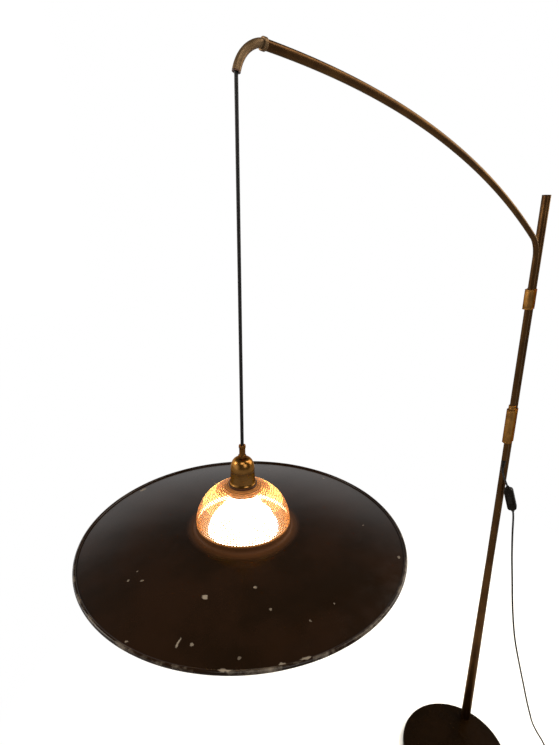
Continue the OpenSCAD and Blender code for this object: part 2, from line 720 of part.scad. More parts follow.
// Switch on the cord: two shells, a rocker on a pin, contacts and screws
module at_switch() {
    translate(switch_c) rotate([0, 0, fall_heading]) rotate([0, -switch_lean, 0]) children();
}
module rounded(w, l, r) {
    union() {
        square([w - 2*r, l], center = true);
        square([w, l - 2*r], center = true);
        for (x = [-1, 1], z = [-1, 1]) translate([x*(w/2 - r), z*(l/2 - r)]) circle(r);
    }
}
module slab(w, l, r, y0, y1) { rotate([90, 0, 0]) translate([0, 0, -y1]) linear_extrude(y1 - y0) rounded(w, l, r); }
module switch_shell(y0, y1, hollow0, hollow1) {
    difference() {
        slab(switch_w, switch_len, switch_corner, y0, y1);
        slab(switch_w - 2*switch_wall, switch_len - 2*switch_wall, switch_corner - switch_wall, hollow0, hollow1);
        cylinder(r = cord_bore, h = switch_len + 2, center = true);
    }
}
module post(y0, y1, bore) {
    for (z = [-1, 1]) translate([post_x, 0, z*post_z]) rotate([90, 0, 0]) translate([0, 0, -y1])
        tube(2*post_r, 2*bore, y1 - y0);
}
module switch_front() {
    half = switch_t/2;
    inside = -half + switch_wall;
    cheek = rocker_w/2 + 0.5;
    color(dark_plastic) at_switch() difference() {
        union() {
            switch_shell(-half, 0, inside, 1);
            for (x = [-1, 1]) translate([x*(cheek + 1), (inside + pivot_y + 3)/2 - 0.5, 0])
                cube([2, pivot_y + 3 - inside + 1, 7], center = true);
            post(inside - 0.5, 0, screw_r + run_fit);
        }
        translate([0, -half, 0])
            cube([2*cheek, 2*switch_wall + 0.2, rocker_len + 2.4], center = true);
        translate([0, pivot_y, 0]) rotate([0, 90, 0])
            cylinder(r = pivot_r + run_fit, h = 2*cheek + 4.2, center = true);
    }
}
module switch_back() {
    half = switch_t/2;
    color(dark_plastic) at_switch() difference() {
        union() {
            switch_shell(0, half, -1, half - switch_wall);
            post(0, half - switch_wall + 0.5, screw_r + 0.3);
        }
        for (z = [-1, 1]) translate([post_x, half - switch_wall, z*post_z]) rotate([-90, 0, 0])
            cylinder(r = head_r + 0.2, h = switch_wall + 1);
        for (z = [-1, 1]) translate([post_x, 0, z*post_z]) rotate([-90, 0, 0])
            cylinder(r = screw_r + 0.3, h = half);
    }
}
module switch_screws() {
    half = switch_t/2;
    color(steel) at_switch() for (z = [-1, 1]) translate([post_x, 0, z*post_z]) rotate([-90, 0, 0]) union() {
        translate([0, 0, half - switch_wall]) cylinder(r = head_r, h = switch_wall - 0.4);
        translate([0, 0, -5]) cylinder(r = screw_r, h = half - switch_wall + 5.5);
    }
}
module switch_contacts() {
    half = switch_t/2;
    color(brass) at_switch() for (z = [-1, 1])
        translate([-4, half - switch_wall - 2, z*11]) cube([4, 4, 7], center = true);
}
module switch_rocker() {
    l = rocker_len/2;
    color("#262422") at_switch() translate([0, pivot_y, 0]) rotate([-rocker_a, 0, 0]) union() {
        translate([-rocker_w/2, 0, 0]) rotate([90, 0, 90]) linear_extrude(rocker_w)
            polygon([[1.5, -l], [1.5, l], [-6, l], [-4.6, 0], [-6, -l]]);
        rotate([0, 90, 0]) cylinder(r = pivot_r, h = rocker_w + 4, center = true);
    }
}
module switch_lead() { color(black) tube_along(smooth(lead_route, 2), cord_d, 8); }
module mains_cord() { color(black) tube_along(smooth(fall_route, 2), cord_d, 8); }
module cord_coil() { color(black) tube_along(coil_path, cord_d, 6); }

// Tie round the coil, and the plug that lies on the floor beside it
module coil_tie() {
    gap = 1.4;
    low = coil_in_r - cord_d/2 - gap;
    high = coil_out_r + cord_d/2 + gap;
    top = coil_z + coil_step + cord_d/2 + 0.4;
    color("#2b2b2b") translate([coil_c[0], coil_c[1], 0]) rotate([0, 0, -90]) difference() {
        translate([low - tie_t, -tie_w/2, 0]) cube([high - low + 2*tie_t, tie_w, top + tie_t]);
        translate([low, -tie_w, tie_t]) cube([high - low, 2*tie_w, top - tie_t]);
    }
}
module at_plug() { translate(plug_p) rotate([0, 0, plug_a]) rotate([-90, 0, 0]) children(); }
module plug_sleeve() {
    color(dark_plastic) at_plug() cylinder(d1 = cord_d + 2.4, d2 = 13, h = plug_sleeve_len);
}
module plug_outline() {
    union() {
        square([plug_w - plug_t, plug_t], center = true);
        for (x = [-1, 1]) translate([x*(plug_w - plug_t)/2, 0]) circle(d = plug_t);
    }
}
module plug_body() {
    color(dark_plastic) at_plug() translate([0, 0, plug_sleeve_len]) difference() {
        linear_extrude(plug_len) plug_outline();
        for (x = [-1, 1]) translate([x*pin_gap/2, 0, plug_len - 12]) cylinder(d = pin_d + 2*run_fit, h = 13);
    }
}
module plug_pins() {
    color(steel) at_plug() for (x = [-1, 1])
        translate([x*pin_gap/2, 0, plug_sleeve_len + plug_len - 12]) cylinder(d = pin_d, h = pin_len + 12);
}

base_disc();
felt_pad();
pole_taper();
pole();
pole_cap();
foot_plug();
base_bolt();
base_washer();
upper_clamp();
lower_clamp();
upper_lock_screw();
lower_lock_screw();
arm_leg();
arm_ferrule();
arm_bow();
stop_collar();
end_ring();
outlet_bend();
outlet_bush();
leg_end_bush();
inner_cord();
drop_cord();
cord_grip();
grip_screw();
grip_nut();
holder_lead();
socket_cap();
holder_body();
contact_block();
screw_shell();
centre_contact();
shade_ring();
dome();
shade();
bulb_glass();
bulb_cap();
switch_lead();
switch_front();
switch_back();
switch_screws();
switch_contacts();
switch_rocker();
mains_cord();
cord_coil();
coil_tie();
plug_sleeve();
plug_body();
plug_pins();
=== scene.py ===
import logging
import math
from dataclasses import dataclass
from enum import Enum

import bmesh
import bpy
import numpy as np
from mathutils import Matrix


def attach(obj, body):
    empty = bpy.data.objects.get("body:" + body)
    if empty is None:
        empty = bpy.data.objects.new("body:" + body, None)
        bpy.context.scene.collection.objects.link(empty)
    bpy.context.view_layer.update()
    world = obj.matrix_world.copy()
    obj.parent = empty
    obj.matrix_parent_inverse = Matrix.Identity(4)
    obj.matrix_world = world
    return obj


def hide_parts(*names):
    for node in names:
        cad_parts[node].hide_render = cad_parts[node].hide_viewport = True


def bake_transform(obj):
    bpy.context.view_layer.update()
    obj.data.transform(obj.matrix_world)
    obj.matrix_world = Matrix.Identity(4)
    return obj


# Sizes are in millimetres, in the part's frame: +Z up, the arm along -X, the base's underside at zero
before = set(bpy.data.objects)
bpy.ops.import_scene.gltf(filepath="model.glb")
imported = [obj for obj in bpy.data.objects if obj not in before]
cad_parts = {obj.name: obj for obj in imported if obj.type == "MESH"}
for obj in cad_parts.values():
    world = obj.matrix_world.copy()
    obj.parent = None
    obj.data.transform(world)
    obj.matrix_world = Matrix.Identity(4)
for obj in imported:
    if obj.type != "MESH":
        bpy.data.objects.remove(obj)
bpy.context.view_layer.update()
MM = 0.001
Array = np.ndarray
Node = bpy.types.Node
Piece = bpy.types.Object
Socket = bpy.types.NodeSocket
Tree = bpy.types.NodeTree
Point = tuple[float, float, float]
UP = (0.0, 0.0, 1.0)
POLE = (124.8, 34.72, 0.0)
LEG = (105.879, 30.003, 0.0)
# Where the drop cord turns in the outlet's mouth
SWING = (-761.34, 30.003, 1759.48)
CORD_R = 2.5
# Room on the radius between pieces that slide or turn on each other
PLAY = 0.05
# Numbers of a Mix node's sockets: two colours and their mixture, and two values
COLOUR_A, COLOUR_B, MIXED, VALUE_A, VALUE_B = 6, 7, 2, 2, 3
log = logging.getLogger("floor_lamp")


# Colours and shader nodes

def linear(code: str) -> tuple[float, float, float, float]:
    """Turns an sRGB hex colour to linear light: a straight line below 0.04045, a power of 2.4 above.

    Args:
        code: Colour such as "#3a2b1c".

    Returns:
        Red, green, blue and an alpha of 1.
    """
    c = np.array([int(code[i:i + 2], 16) for i in (1, 3, 5)]) / 255
    rgb = np.where(c <= 0.04045, c / 12.92, ((c + 0.055) / 1.055) ** 2.4)
    return (*(float(v) for v in rgb), 1.0)


def add_node(tree: Tree, kind: str, inputs: dict | None = None, **settings) -> Node:
    """Adds one shader node, sets its options, and fills or links its inputs.

    Args:
        tree: Node tree that gets the node.
        kind: Node type without its prefix, such as "TexNoise".
        inputs: Socket name or number, to a value, an output, or a node that stands for its first output.
        **settings: The node's own options.

    Returns:
        The new node.
    """
    node = tree.nodes.new("ShaderNode" + kind)
    for key, value in settings.items():
        setattr(node, key, value)
    for key, value in (inputs or {}).items():
        source = value.outputs[0] if isinstance(value, Node) else value
        if isinstance(source, Socket):
            tree.links.new(source, node.inputs[key])
        else:
            node.inputs[key].default_value = source
    return node


class Grain(Enum):
    """How a surface was worked, which sets the way its fine grain runs."""

    EVEN = (1.0, 1.0)
    DRAWN = (1.0, 0.03)
    TURNED = (0.03, 1.0)


@dataclass(frozen=True)
class Finish:
    """A surface with two mixed tones, a grain that varies its gloss, and a shallow relief.

    Patterns have real sizes: patch_mm is the width of a tone's patches, grain_mm that of the grain. Grain
    that is finer on the real lamp is drawn as coarse as it needs to show.
    """

    name: str
    tone: str
    second_tone: str
    metallic: float = 0.0
    roughness: float = 0.4
    rough_spread: float = 0.08
    patch_mm: float = 25.0
    grain_mm: float = 0.8
    relief_mm: float = 0.008
    grain: Grain = Grain.EVEN
    specular: float = 0.5
    coat: float = 0.0
    coat_roughness: float = 0.1
    sheen: float = 0.0
    edge: str = "#ffffff"

    def material(self) -> bpy.types.Material:
        """Returns this finish's material, made at its first use.

        Returns:
            The material.
        """
        found = bpy.data.materials.get(self.name)
        if found:
            return found
        made = bpy.data.materials.new(self.name)
        made.use_nodes = True
        made.node_tree.nodes.clear()
        shader = self.shade(made.node_tree)
        add_node(made.node_tree, "OutputMaterial", {"Surface": shader})
        return made

    def grain_vector(self, tree: Tree) -> Socket:
        """Finds the grain's coordinates: metres in space, or metres round and along a worked piece.

        Args:
            tree: The material's node tree.

        Returns:
            The coordinates.
        """
        where = add_node(tree, "TexCoord")
        if self.grain is Grain.EVEN:
            return where.outputs["Object"]
        scale = (*self.grain.value, 1.0)
        return add_node(tree, "Mapping", {"Vector": where.outputs["UV"], "Scale": scale}).outputs[0]

    def tones(self, tree: Tree) -> Socket:
        """Mixes the two tones in soft patches.

        Args:
            tree: The material's node tree.

        Returns:
            The colour.
        """
        where = add_node(tree, "TexCoord").outputs["Object"]
        patches = add_node(tree, "TexNoise", {
            "Vector": where, "Scale": 1000 / self.patch_mm, "Detail": 5.0, "Roughness": 0.6})
        share = add_node(tree, "MapRange", {
            "Value": patches, "From Min": 0.35, "From Max": 0.68}, interpolation_type="SMOOTHSTEP")
        return add_node(tree, "Mix", {
            0: share, COLOUR_A: linear(self.tone), COLOUR_B: linear(self.second_tone)},
            data_type="RGBA").outputs[MIXED]

    def shade(self, tree: Tree) -> Node:
        """Builds the shader of this finish.

        Args:
            tree: The material's node tree.

        Returns:
            The Principled node.
        """
        fine = add_node(tree, "TexNoise", {
            "Vector": self.grain_vector(tree), "Scale": 1000 / self.grain_mm, "Detail": 4.0})
        low, high = max(0.03, self.roughness - self.rough_spread), self.roughness + self.rough_spread
        gloss = add_node(tree, "MapRange", {
            "Value": fine, "From Min": 0.3, "From Max": 0.7, "To Min": low, "To Max": high})
        relief = add_node(tree, "Bump", {"Height": fine, "Distance": self.relief_mm * MM, "Strength": 1.0})
        return add_node(tree, "BsdfPrincipled", {
            "Base Color": self.tones(tree), "Metallic": self.metallic, "Roughness": gloss, "Normal": relief,
            "Specular IOR Level": self.specular, "Specular Tint": linear(self.edge), "Coat Weight": self.coat,
            "Coat Roughness": self.coat_roughness, "Sheen Weight": self.sheen})


@dataclass(frozen=True)
class Chip:
    """A place where the enamel is struck off: reach and bearing from the shade's axis, size, shape, depth."""

    reach: float
    bearing: float
    size: float
    stretch: float
    depth: float


CHIPS = tuple(Chip(*row) for row in (
    (154.8, -144.2, 6.4, 1.2, 1.0), (136.6, -119.3, 4.6, 1.0, 0.8), (186.8, 178.7, 4.0, 0.7, 0.6),
    (173.1, -177.0, 3.6, 0.8, 0.5), (170.9, 176.1, 2.8, 1.0, 0.4), (173.3, -114.7, 4.0, 1.0, 0.6),
    (197.6, -90.1, 3.2, 1.0, 0.5), (202.8, -102.1, 3.6, 0.9, 0.45), (220.5, -145.8, 11.0, 0.24, 0.9),
    (218.8, -141.6, 5.0, 0.8, 0.7), (240.5, -160.4, 2.8, 1.0, 0.7), (231.0, -126.9, 3.4, 1.0, 0.4),
    (234.0, 105.6, 6.0, 2.2, 0.8), (205.0, 40.0, 2.8, 1.0, 0.4), (150.0, 75.0, 2.4, 1.0, 0.3),
    (226.0, 12.0, 3.4, 1.6, 0.5), (190.0, -35.0, 2.8, 1.0, 0.4), (238.0, -52.0, 4.0, 1.5, 0.5),
    (243.5, -115.5, 4.0, 2.2, 0.9), (244.5, -109.0, 4.5, 3.0, 0.9), (245.5, -130.5, 5.0, 3.0, 0.9),
))


@dataclass(frozen=True)
class WornEnamel(Finish):
    """Vitreous enamel on steel: deep gloss, struck chips, a rim rubbed bare, and a painted glow round the
    neck.

    Chips are ragged by ragged_mm, and the rim is rubbed in patches of rubbed_mm.
    """

    bare: str = "#62594d"
    # The next three set a painted warm glow of the bulb's light round the neck: its colour, the radius where
    # it is full, and the radius where it has faded
    glow_tone: str = "#3f2614"
    glow_inner_r: float = 74.0
    glow_outer_r: float = 90.0
    rim_r: float = 247.0
    ragged_mm: float = 6.0
    rubbed_mm: float = 34.0
    axis: Point = SWING

    def shade(self, tree: Tree) -> Node:
        """Lays a painted bulb glow at the neck, chips and rim wear over the plain enamel; each mixes colour
        and gloss.

        Args:
            tree: The material's node tree.

        Returns:
            The Principled node.
        """
        shader = super().shade(tree)
        enamel, gloss = (shader.inputs[name].links[0].from_socket for name in ("Base Color", "Roughness"))
        where = add_node(tree, "TexCoord").outputs["Object"]
        reach = self.reach(tree, where)
        # Painted warm glow of the bulb's light round the neck, where the gloss is also dulled and faint
        neck = add_node(tree, "MapRange", {
            "Value": reach, "From Min": self.glow_inner_r * MM, "From Max": self.glow_outer_r * MM,
            "To Min": 0.75, "To Max": 0.0}, interpolation_type="SMOOTHSTEP")
        worn = add_node(tree, "Math", {
            0: self.chips(tree, where), 1: self.rim_wear(tree, where, reach)}, operation="MAXIMUM")
        glow_tinted = add_node(tree, "Mix", {
            0: neck, COLOUR_A: enamel, COLOUR_B: linear(self.glow_tone)}, data_type="RGBA").outputs[MIXED]
        colour = add_node(tree, "Mix", {
            0: worn, COLOUR_A: glow_tinted, COLOUR_B: linear(self.bare)}, data_type="RGBA").outputs[MIXED]
        glow_dulled = add_node(tree, "Mix", {0: neck, VALUE_A: gloss, VALUE_B: 0.6})
        dull = add_node(tree, "Mix", {0: worn, VALUE_A: glow_dulled, VALUE_B: 0.62}).outputs[0]
        faint = add_node(tree, "Mix", {0: neck, VALUE_A: self.specular, VALUE_B: 0.0}).outputs[0]
        for name, source in (("Base Color", colour), ("Roughness", dull), ("Specular IOR Level", faint)):
            tree.links.new(source, shader.inputs[name])
        return shader

    def chips(self, tree: Tree, where: Socket) -> Node:
        """Draws each chip as a spot round its point, in coordinates that noise warps.

        Args:
            tree: The material's node tree.
            where: Object coordinates.

        Returns:
            The node with the chips' depth, 0 on whole enamel.
        """
        sway = self.ragged_mm * MM
        ragged = add_node(tree, "TexNoise", {"Vector": where, "Scale": 1000 / self.ragged_mm, "Detail": 3.0})
        jitter = add_node(tree, "VectorMath", {
            0: ragged.outputs["Color"], 1: (0.5, 0.5, 0.5)}, operation="SUBTRACT")
        warped = add_node(tree, "VectorMath", {
            0: jitter, 1: (sway, sway, 0.0), 2: where}, operation="MULTIPLY_ADD")
        mask = None
        for chip in CHIPS:
            turn = math.radians(chip.bearing)
            x, y = self.axis[0] + chip.reach * math.cos(turn), self.axis[1] + chip.reach * math.sin(turn)
            # Texture mapping turns and scales about the chip, so its height never counts
            local = add_node(tree, "Mapping", {
                "Vector": warped, "Location": (x * MM, y * MM, 0.0), "Rotation": (0.0, 0.0, turn),
                "Scale": (1.0, chip.stretch, 0.0)}, vector_type="TEXTURE")
            flat = add_node(tree, "VectorMath", {0: local, 1: (1.0, 1.0, 0.0)}, operation="MULTIPLY")
            far = add_node(tree, "VectorMath", {0: flat}, operation="LENGTH").outputs["Value"]
            spot = add_node(tree, "MapRange", {
                "Value": far, "From Min": chip.size * 0.38 * MM, "From Max": chip.size * 0.62 * MM,
                "To Min": chip.depth, "To Max": 0.0})
            mask = spot if mask is None else add_node(tree, "Math", {0: mask, 1: spot}, operation="MAXIMUM")
        return mask

    def reach(self, tree: Tree, where: Socket) -> Socket:
        """Measures the level distance from the shade's axis.

        Args:
            tree: The material's node tree.
            where: Object coordinates.

        Returns:
            The distance in metres.
        """
        axis = (self.axis[0] * MM, self.axis[1] * MM, 0.0)
        off = add_node(tree, "VectorMath", {0: where, 1: axis}, operation="SUBTRACT")
        flat = add_node(tree, "VectorMath", {0: off, 1: (1.0, 1.0, 0.0)}, operation="MULTIPLY")
        return add_node(tree, "VectorMath", {0: flat}, operation="LENGTH").outputs["Value"]

    def rim_wear(self, tree: Tree, where: Socket, reach: Socket) -> Node:
        """Rubs the rolled rim: patches of noise, kept to the last millimetres of the radius.

        Args:
            tree: The material's node tree.
            where: Object coordinates.
            reach: Distance from the shade's axis in metres.

        Returns:
            The node with the share of bare metal.
        """
        edge = add_node(tree, "MapRange", {
            "Value": reach, "From Min": (self.rim_r - 1.5) * MM, "From Max": (self.rim_r + 1.2) * MM})
        patch = add_node(tree, "TexNoise", {
            "Vector": where, "Scale": 1000 / self.rubbed_mm, "Detail": 6.0, "Roughness": 0.7})
        some = add_node(tree, "MapRange", {"Value": patch, "From Min": 0.5, "From Max": 0.72, "To Max": 0.9})
        return add_node(tree, "Math", {0: edge, 1: some}, operation="MULTIPLY")


@dataclass(frozen=True)
class OpalGlow(Finish):
    """Opal glass of a lit globe: white, smooth, and bright enough to hide the lamp inside it."""

    light: str = "#fff0d2"
    strength: float = 14.0

    def shade(self, tree: Tree) -> Node:
        """Gives the glass its own even light.

        Args:
            tree: The material's node tree.

        Returns:
            The Principled node.
        """
        shader = super().shade(tree)
        shader.inputs["Emission Color"].default_value = linear(self.light)
        shader.inputs["Emission Strength"].default_value = self.strength
        return shader


@dataclass(frozen=True)
class CordSheath(Finish):
    """Plastic sheath of a cord, with a fine ripple left by the twisted cores: one wave a lay."""

    lay_mm: float = 26.0
    ripple_mm: float = 0.1

    def shade(self, tree: Tree) -> Node:
        """Adds the ripple: a wave along the cord, slanted by the distance round it.

        Args:
            tree: The material's node tree.

        Returns:
            The Principled node.
        """
        shader = super().shade(tree)
        where = add_node(tree, "TexCoord").outputs["UV"]
        wave = add_node(tree, "TexWave", {
            "Vector": where, "Scale": 1000 / self.lay_mm / 2, "Distortion": 1.0, "Detail Scale": 2.0},
            wave_type="BANDS", bands_direction="DIAGONAL")
        relief = add_node(tree, "Bump", {
            "Height": wave.outputs[1], "Distance": self.ripple_mm * MM, "Strength": 0.5,
            "Normal": shader.inputs["Normal"].links[0].from_socket})
        tree.links.new(relief.outputs[0], shader.inputs["Normal"])
        return shader


# Lacquered steel tube: dark bronze with a soft gloss and lines from drawing
BRONZE = Finish("bronze_lacquer_drawn_tube", "#38240f", "#291808", metallic=0.85, roughness=0.36,
                rough_spread=0.05, patch_mm=60, grain_mm=1.4, relief_mm=0.006, grain=Grain.DRAWN,
                specular=0.3, edge="#c6beb0")
# Bronze tube without lacquer: lighter, a little streaked
OUTLET_BRONZE = Finish("rubbed_bronze_tube", "#52412e", "#463623", metallic=0.55, rough_spread=0.04,
                       patch_mm=18, grain_mm=0.9, relief_mm=0.001, grain=Grain.DRAWN, specular=0.2,
                       edge="#93795a")
# Cast iron under stoved black enamel: deep gloss with a faint cast waviness
BLACK_CASTING = Finish("stoved_black_cast_iron", "#0b0501", "#110802", roughness=0.2, rough_spread=0.05,
                       patch_mm=70, grain_mm=9.0, relief_mm=0.03, specular=0.06)
# Turned brass, aged: warm, with rings from the lathe and brown patina
CLAMP_BRASS = Finish("aged_turned_brass", "#724f26", "#54391a", metallic=1.0, roughness=0.38,
                     rough_spread=0.06, patch_mm=22, relief_mm=0.004, grain=Grain.TURNED, edge="#a88656")
# Spun brass of the lampholder: darker patina, smoother, under a thin lacquer that whitens its glints
CAP_BRASS = Finish("antique_spun_brass", "#6c491e", "#573810", metallic=1.0, roughness=0.25,
                   rough_spread=0.04, patch_mm=26, grain_mm=0.9, relief_mm=0.003, grain=Grain.TURNED,
                   coat=0.12, edge="#d8b888")
# Turned brass of small pieces: dark, with brown patina in random patches
DARK_BRASS = Finish("dark_antique_brass", "#6b4620", "#4a2f13", metallic=1.0, roughness=0.34, patch_mm=8,
                    grain_mm=0.7, grain=Grain.TURNED, edge="#d0a878")
# Brass of the shade ring: brown and dull, darker than the other brass
DULL_DARK_BRASS = Finish("dull_dark_brown_brass", "#4f2910", "#3d1d0a", metallic=0.5, roughness=0.5, patch_mm=8,
                     grain_mm=0.7, grain=Grain.TURNED)
# Perforated brass sheet: satin and reddish brown
MESH_BRASS = Finish("perforated_brass_sheet", "#a56c35", "#8f5927", metallic=0.3, roughness=0.45, patch_mm=12)
# The same sheet inside: a lighter copy of it, painted light of the bulb on the brass
MESH_PAINTED_LIGHT = Finish("brass_sheet_painted_light", "#f0cf80", "#e3bd6c", roughness=0.5, patch_mm=12)
# Steel of the dome's inner lip: dark and matt; its brown is painted shade for the dark space seen through the
# mesh
LIP_PAINTED_SHADE = Finish("lip_steel_painted_shade", "#4f3118", "#3c240f", roughness=0.6, rough_spread=0.1,
                       patch_mm=10, relief_mm=0.02)
# Vitreous enamel over steel: dark brown and glossy
BROWN_ENAMEL = WornEnamel("dark_brown_vitreous_enamel", "#160b04", "#0f0702", roughness=0.17,
                          rough_spread=0.04, patch_mm=90, grain_mm=14.0, relief_mm=0.03, specular=0.1)
# Vitreous enamel inside the shade: white, and it spreads the bulb's light
WHITE_ENAMEL = Finish("white_vitreous_enamel", "#f2ede2", "#e4dccb", roughness=0.24, rough_spread=0.05,
                      patch_mm=80, grain_mm=2.2, relief_mm=0.012)
# Blown opal glass, lit: an even warm white
OPAL = OpalGlow("opal_glass_lit", "#fdf8ee", "#f7efe0", roughness=0.2, rough_spread=0.03, patch_mm=40,
                grain_mm=3.0, relief_mm=0.004)
# Moulded phenolic of the lampholder: deep brown with a dull gloss
BROWN_MOULDED = Finish("brown_moulded_phenolic", "#3b2415", "#2c1a0f", roughness=0.34, patch_mm=14,
                       grain_mm=0.7, relief_mm=0.012, specular=0.15)
# Moulded plastic of bushes, switch and plug: black and satin
BLACK_MOULDED = Finish("black_moulded_plastic", "#080502", "#0b0704", roughness=0.42, patch_mm=20,
                       grain_mm=0.7, relief_mm=0.016, specular=0.05)
# Moulded plastic of the rocker: a little lighter and smoother than the switch
ROCKER_PLASTIC = Finish("satin_rocker_plastic", "#0c0906", "#100c08", roughness=0.34, rough_spread=0.06,
                        patch_mm=12, grain_mm=0.6, relief_mm=0.01, specular=0.08)
# Extruded plastic sheath: black, half matt
CORD_PLASTIC = CordSheath("black_cord_sheath", "#0a0908", "#0f0d0c", roughness=0.5, patch_mm=30,
                          grain_mm=0.9, relief_mm=0.02, specular=0.12)
# Pressed wool felt: matt, with a soft fuzz
FELT = Finish("dark_wool_felt", "#332e29", "#241f1b", roughness=0.95, rough_spread=0.04, patch_mm=6,
              grain_mm=0.5, relief_mm=0.25, sheen=0.4)
# Zinc-plated steel: grey, satin, faintly mottled
STEEL = Finish("zinc_plated_steel", "#a9a8a2", "#8b8a85", metallic=1.0, roughness=0.34, rough_spread=0.1,
               patch_mm=7, grain_mm=0.6, relief_mm=0.012)
# Nickel-plated pins: bright and smooth
NICKEL = Finish("nickel_plated_pin", "#cfccc4", "#b3b0a8", metallic=1.0, roughness=0.18, rough_spread=0.05,
                patch_mm=6, grain_mm=0.6, relief_mm=0.006)
# Glazed porcelain: cream white under a clear glaze
PORCELAIN = Finish("glazed_porcelain", "#e6dfcf", "#d8cfbb", roughness=0.22, rough_spread=0.06, patch_mm=18,
                   grain_mm=2.0, relief_mm=0.01, coat=0.3)
# Nylon strap: charcoal, matt, a little fuzzy
STRAP = Finish("black_strap_nylon", "#1b1a1a", "#242222", roughness=0.6, rough_spread=0.1, patch_mm=5,
               grain_mm=0.5, relief_mm=0.03, sheen=0.2)


# Surfaces worked out as whole arrays

def new_object(name: str, points: Array, faces: Array, uv: Array | None = None,
               slots: Array | None = None, sharp: float = 35.0) -> Piece:
    """Makes a closed mesh object from arrays, welds doubled points and turns its faces outwards.

    Args:
        name: Name of the piece.
        points: Points in millimetres, shape (n, 3).
        faces: Corner numbers, shape (k, 4).
        uv: Metres round and along the surface for each point, shape (n, 2).
        slots: Material number of each face.
        sharp: Angle in degrees above which an edge stays crisp.

    Returns:
        The object, at the origin.
    """
    mesh = bpy.data.meshes.new(name)
    mesh.from_pydata((points * MM).tolist(), [], faces.tolist())
    if uv is not None:
        mesh.uv_layers.new(name="metres").data.foreach_set("uv", uv[faces.ravel()].ravel())
    if slots is not None:
        mesh.polygons.foreach_set("material_index", slots.astype(np.int32))
    shape = bmesh.new()
    shape.from_mesh(mesh)
    bmesh.ops.remove_doubles(shape, verts=shape.verts, dist=2e-6)
    bmesh.ops.dissolve_degenerate(shape, edges=shape.edges, dist=1e-7)
    bmesh.ops.recalc_face_normals(shape, faces=shape.faces)
    shape.to_mesh(mesh)
    shape.free()
    mesh.polygons.foreach_set("use_smooth", np.ones(len(mesh.polygons), bool))
    mesh.set_sharp_from_angle(angle=math.radians(sharp))
    made = bpy.data.objects.new(name, mesh)
    bpy.context.scene.collection.objects.link(made)
    return made


def grid_object(name: str, points: Array, slots: Array | None = None, sharp: float = 35.0) -> Piece:
    """Makes a piece from a grid of points whose first and last column coincide.

    The surface map counts metres: round is the mean length of a column step, along the mean of a row step.

    Args:
        name: Name of the piece.
        points: Points in millimetres, shape (rows, columns, 3).
        slots: Material number of each row of faces.
        sharp: Angle in degrees above which an edge stays crisp.

    Returns:
        The object.
    """
    rows, columns = points.shape[:2]
    i = np.arange(rows * columns).reshape(rows, columns)
    faces = np.stack([i[:-1, :-1], i[:-1, 1:], i[1:, 1:], i[1:, :-1]], -1).reshape(-1, 4)
    round_step = np.linalg.norm(np.diff(points, axis=1), axis=2).mean()
    along_step = np.linalg.norm(np.diff(points, axis=0), axis=2).mean(axis=1)
    along = np.concatenate([[0.0], np.cumsum(along_step)])
    uv = np.stack(np.broadcast_arrays(np.arange(columns) * round_step, along[:, None]), -1) * MM
    each = None if slots is None else np.repeat(slots, columns - 1)
    return new_object(name, points.reshape(-1, 3), faces, uv.reshape(-1, 2), each, sharp)


def rounded(outline: Array, radius: float, steps: int = 3, closed: bool = True) -> Array:
    """Eases each corner of an outline with a quadratic curve between points a radius before and after it.

    Args:
        outline: Corners, shape (n, 2).
        radius: Distance from the corner; less than half of the shorter side.
        steps: Points in each curve, less one.
        closed: Whether the last corner joins the first. An open outline keeps its two ends.

    Returns:
        The eased outline.
    """
    p = np.asarray(outline, float)
    before, after = np.roll(p, 1, 0) - p, np.roll(p, -1, 0) - p
    length_b, length_a = (np.linalg.norm(v, axis=1, keepdims=True) for v in (before, after))
    r = np.minimum(radius, 0.45 * np.minimum(length_b, length_a))
    if not closed:
        r[[0, -1]] = 0.0
    a = p + before / np.maximum(length_b, 1e-9) * r
    c = p + after / np.maximum(length_a, 1e-9) * r
    t = np.linspace(0, 1, steps + 1)[None, :, None]
    return ((1 - t) ** 2 * a[:, None] + 2 * t * (1 - t) * p[:, None] + t ** 2 * c[:, None]).reshape(-1, 2)


def across(axis: Array) -> tuple[Array, Array]:
    """Finds two directions square to an axis and to each other.

    Args:
        axis: Direction of length 1.

    Returns:
        The two directions.
    """
    axis = np.asarray(axis, float)
    helper = np.array([1.0, 0, 0]) if abs(axis[0]) < 0.9 else np.array([0, 1.0, 0])
    side = np.cross(axis, helper)
    side /= np.linalg.norm(side)
    return side, np.cross(axis, side)


def turned(outline: Array, origin: Array | Point, axis: Array | Point = UP, segments: int = 96,
           closed: bool = True, ripple: Array | None = None) -> Array:
    """Carries an outline round an axis: origin + radius times (cos a, sin a) + height along the axis.

    Args:
        outline: Radii and heights, shape (n, 2).
        origin: Point of height zero on the axis.
        axis: Direction of height.
        segments: Steps in a full turn.
        closed: Whether the outline is closed. An open one starts and ends on the axis.
        ripple: Millimetres added to the radius, shape (n, segments + 1), such as a knurl.

    Returns:
        Grid of points, shape (rows, segments + 1, 3).
    """
    p = np.vstack([outline, outline[:1]]) if closed else np.asarray(outline, float)
    a = np.linspace(0, 2 * np.pi, segments + 1)
    a[-1] = 0.0
    r = p[:, :1] + np.zeros_like(a)
    if ripple is not None:
        r = r + (np.vstack([ripple, ripple[:1]]) if closed else ripple)
    side, other = across(np.asarray(axis))
    flat = r[..., None] * (np.cos(a)[:, None] * side + np.sin(a)[:, None] * other)
    return np.asarray(origin, float) + flat + p[:, 1, None, None] * np.asarray(axis, float)


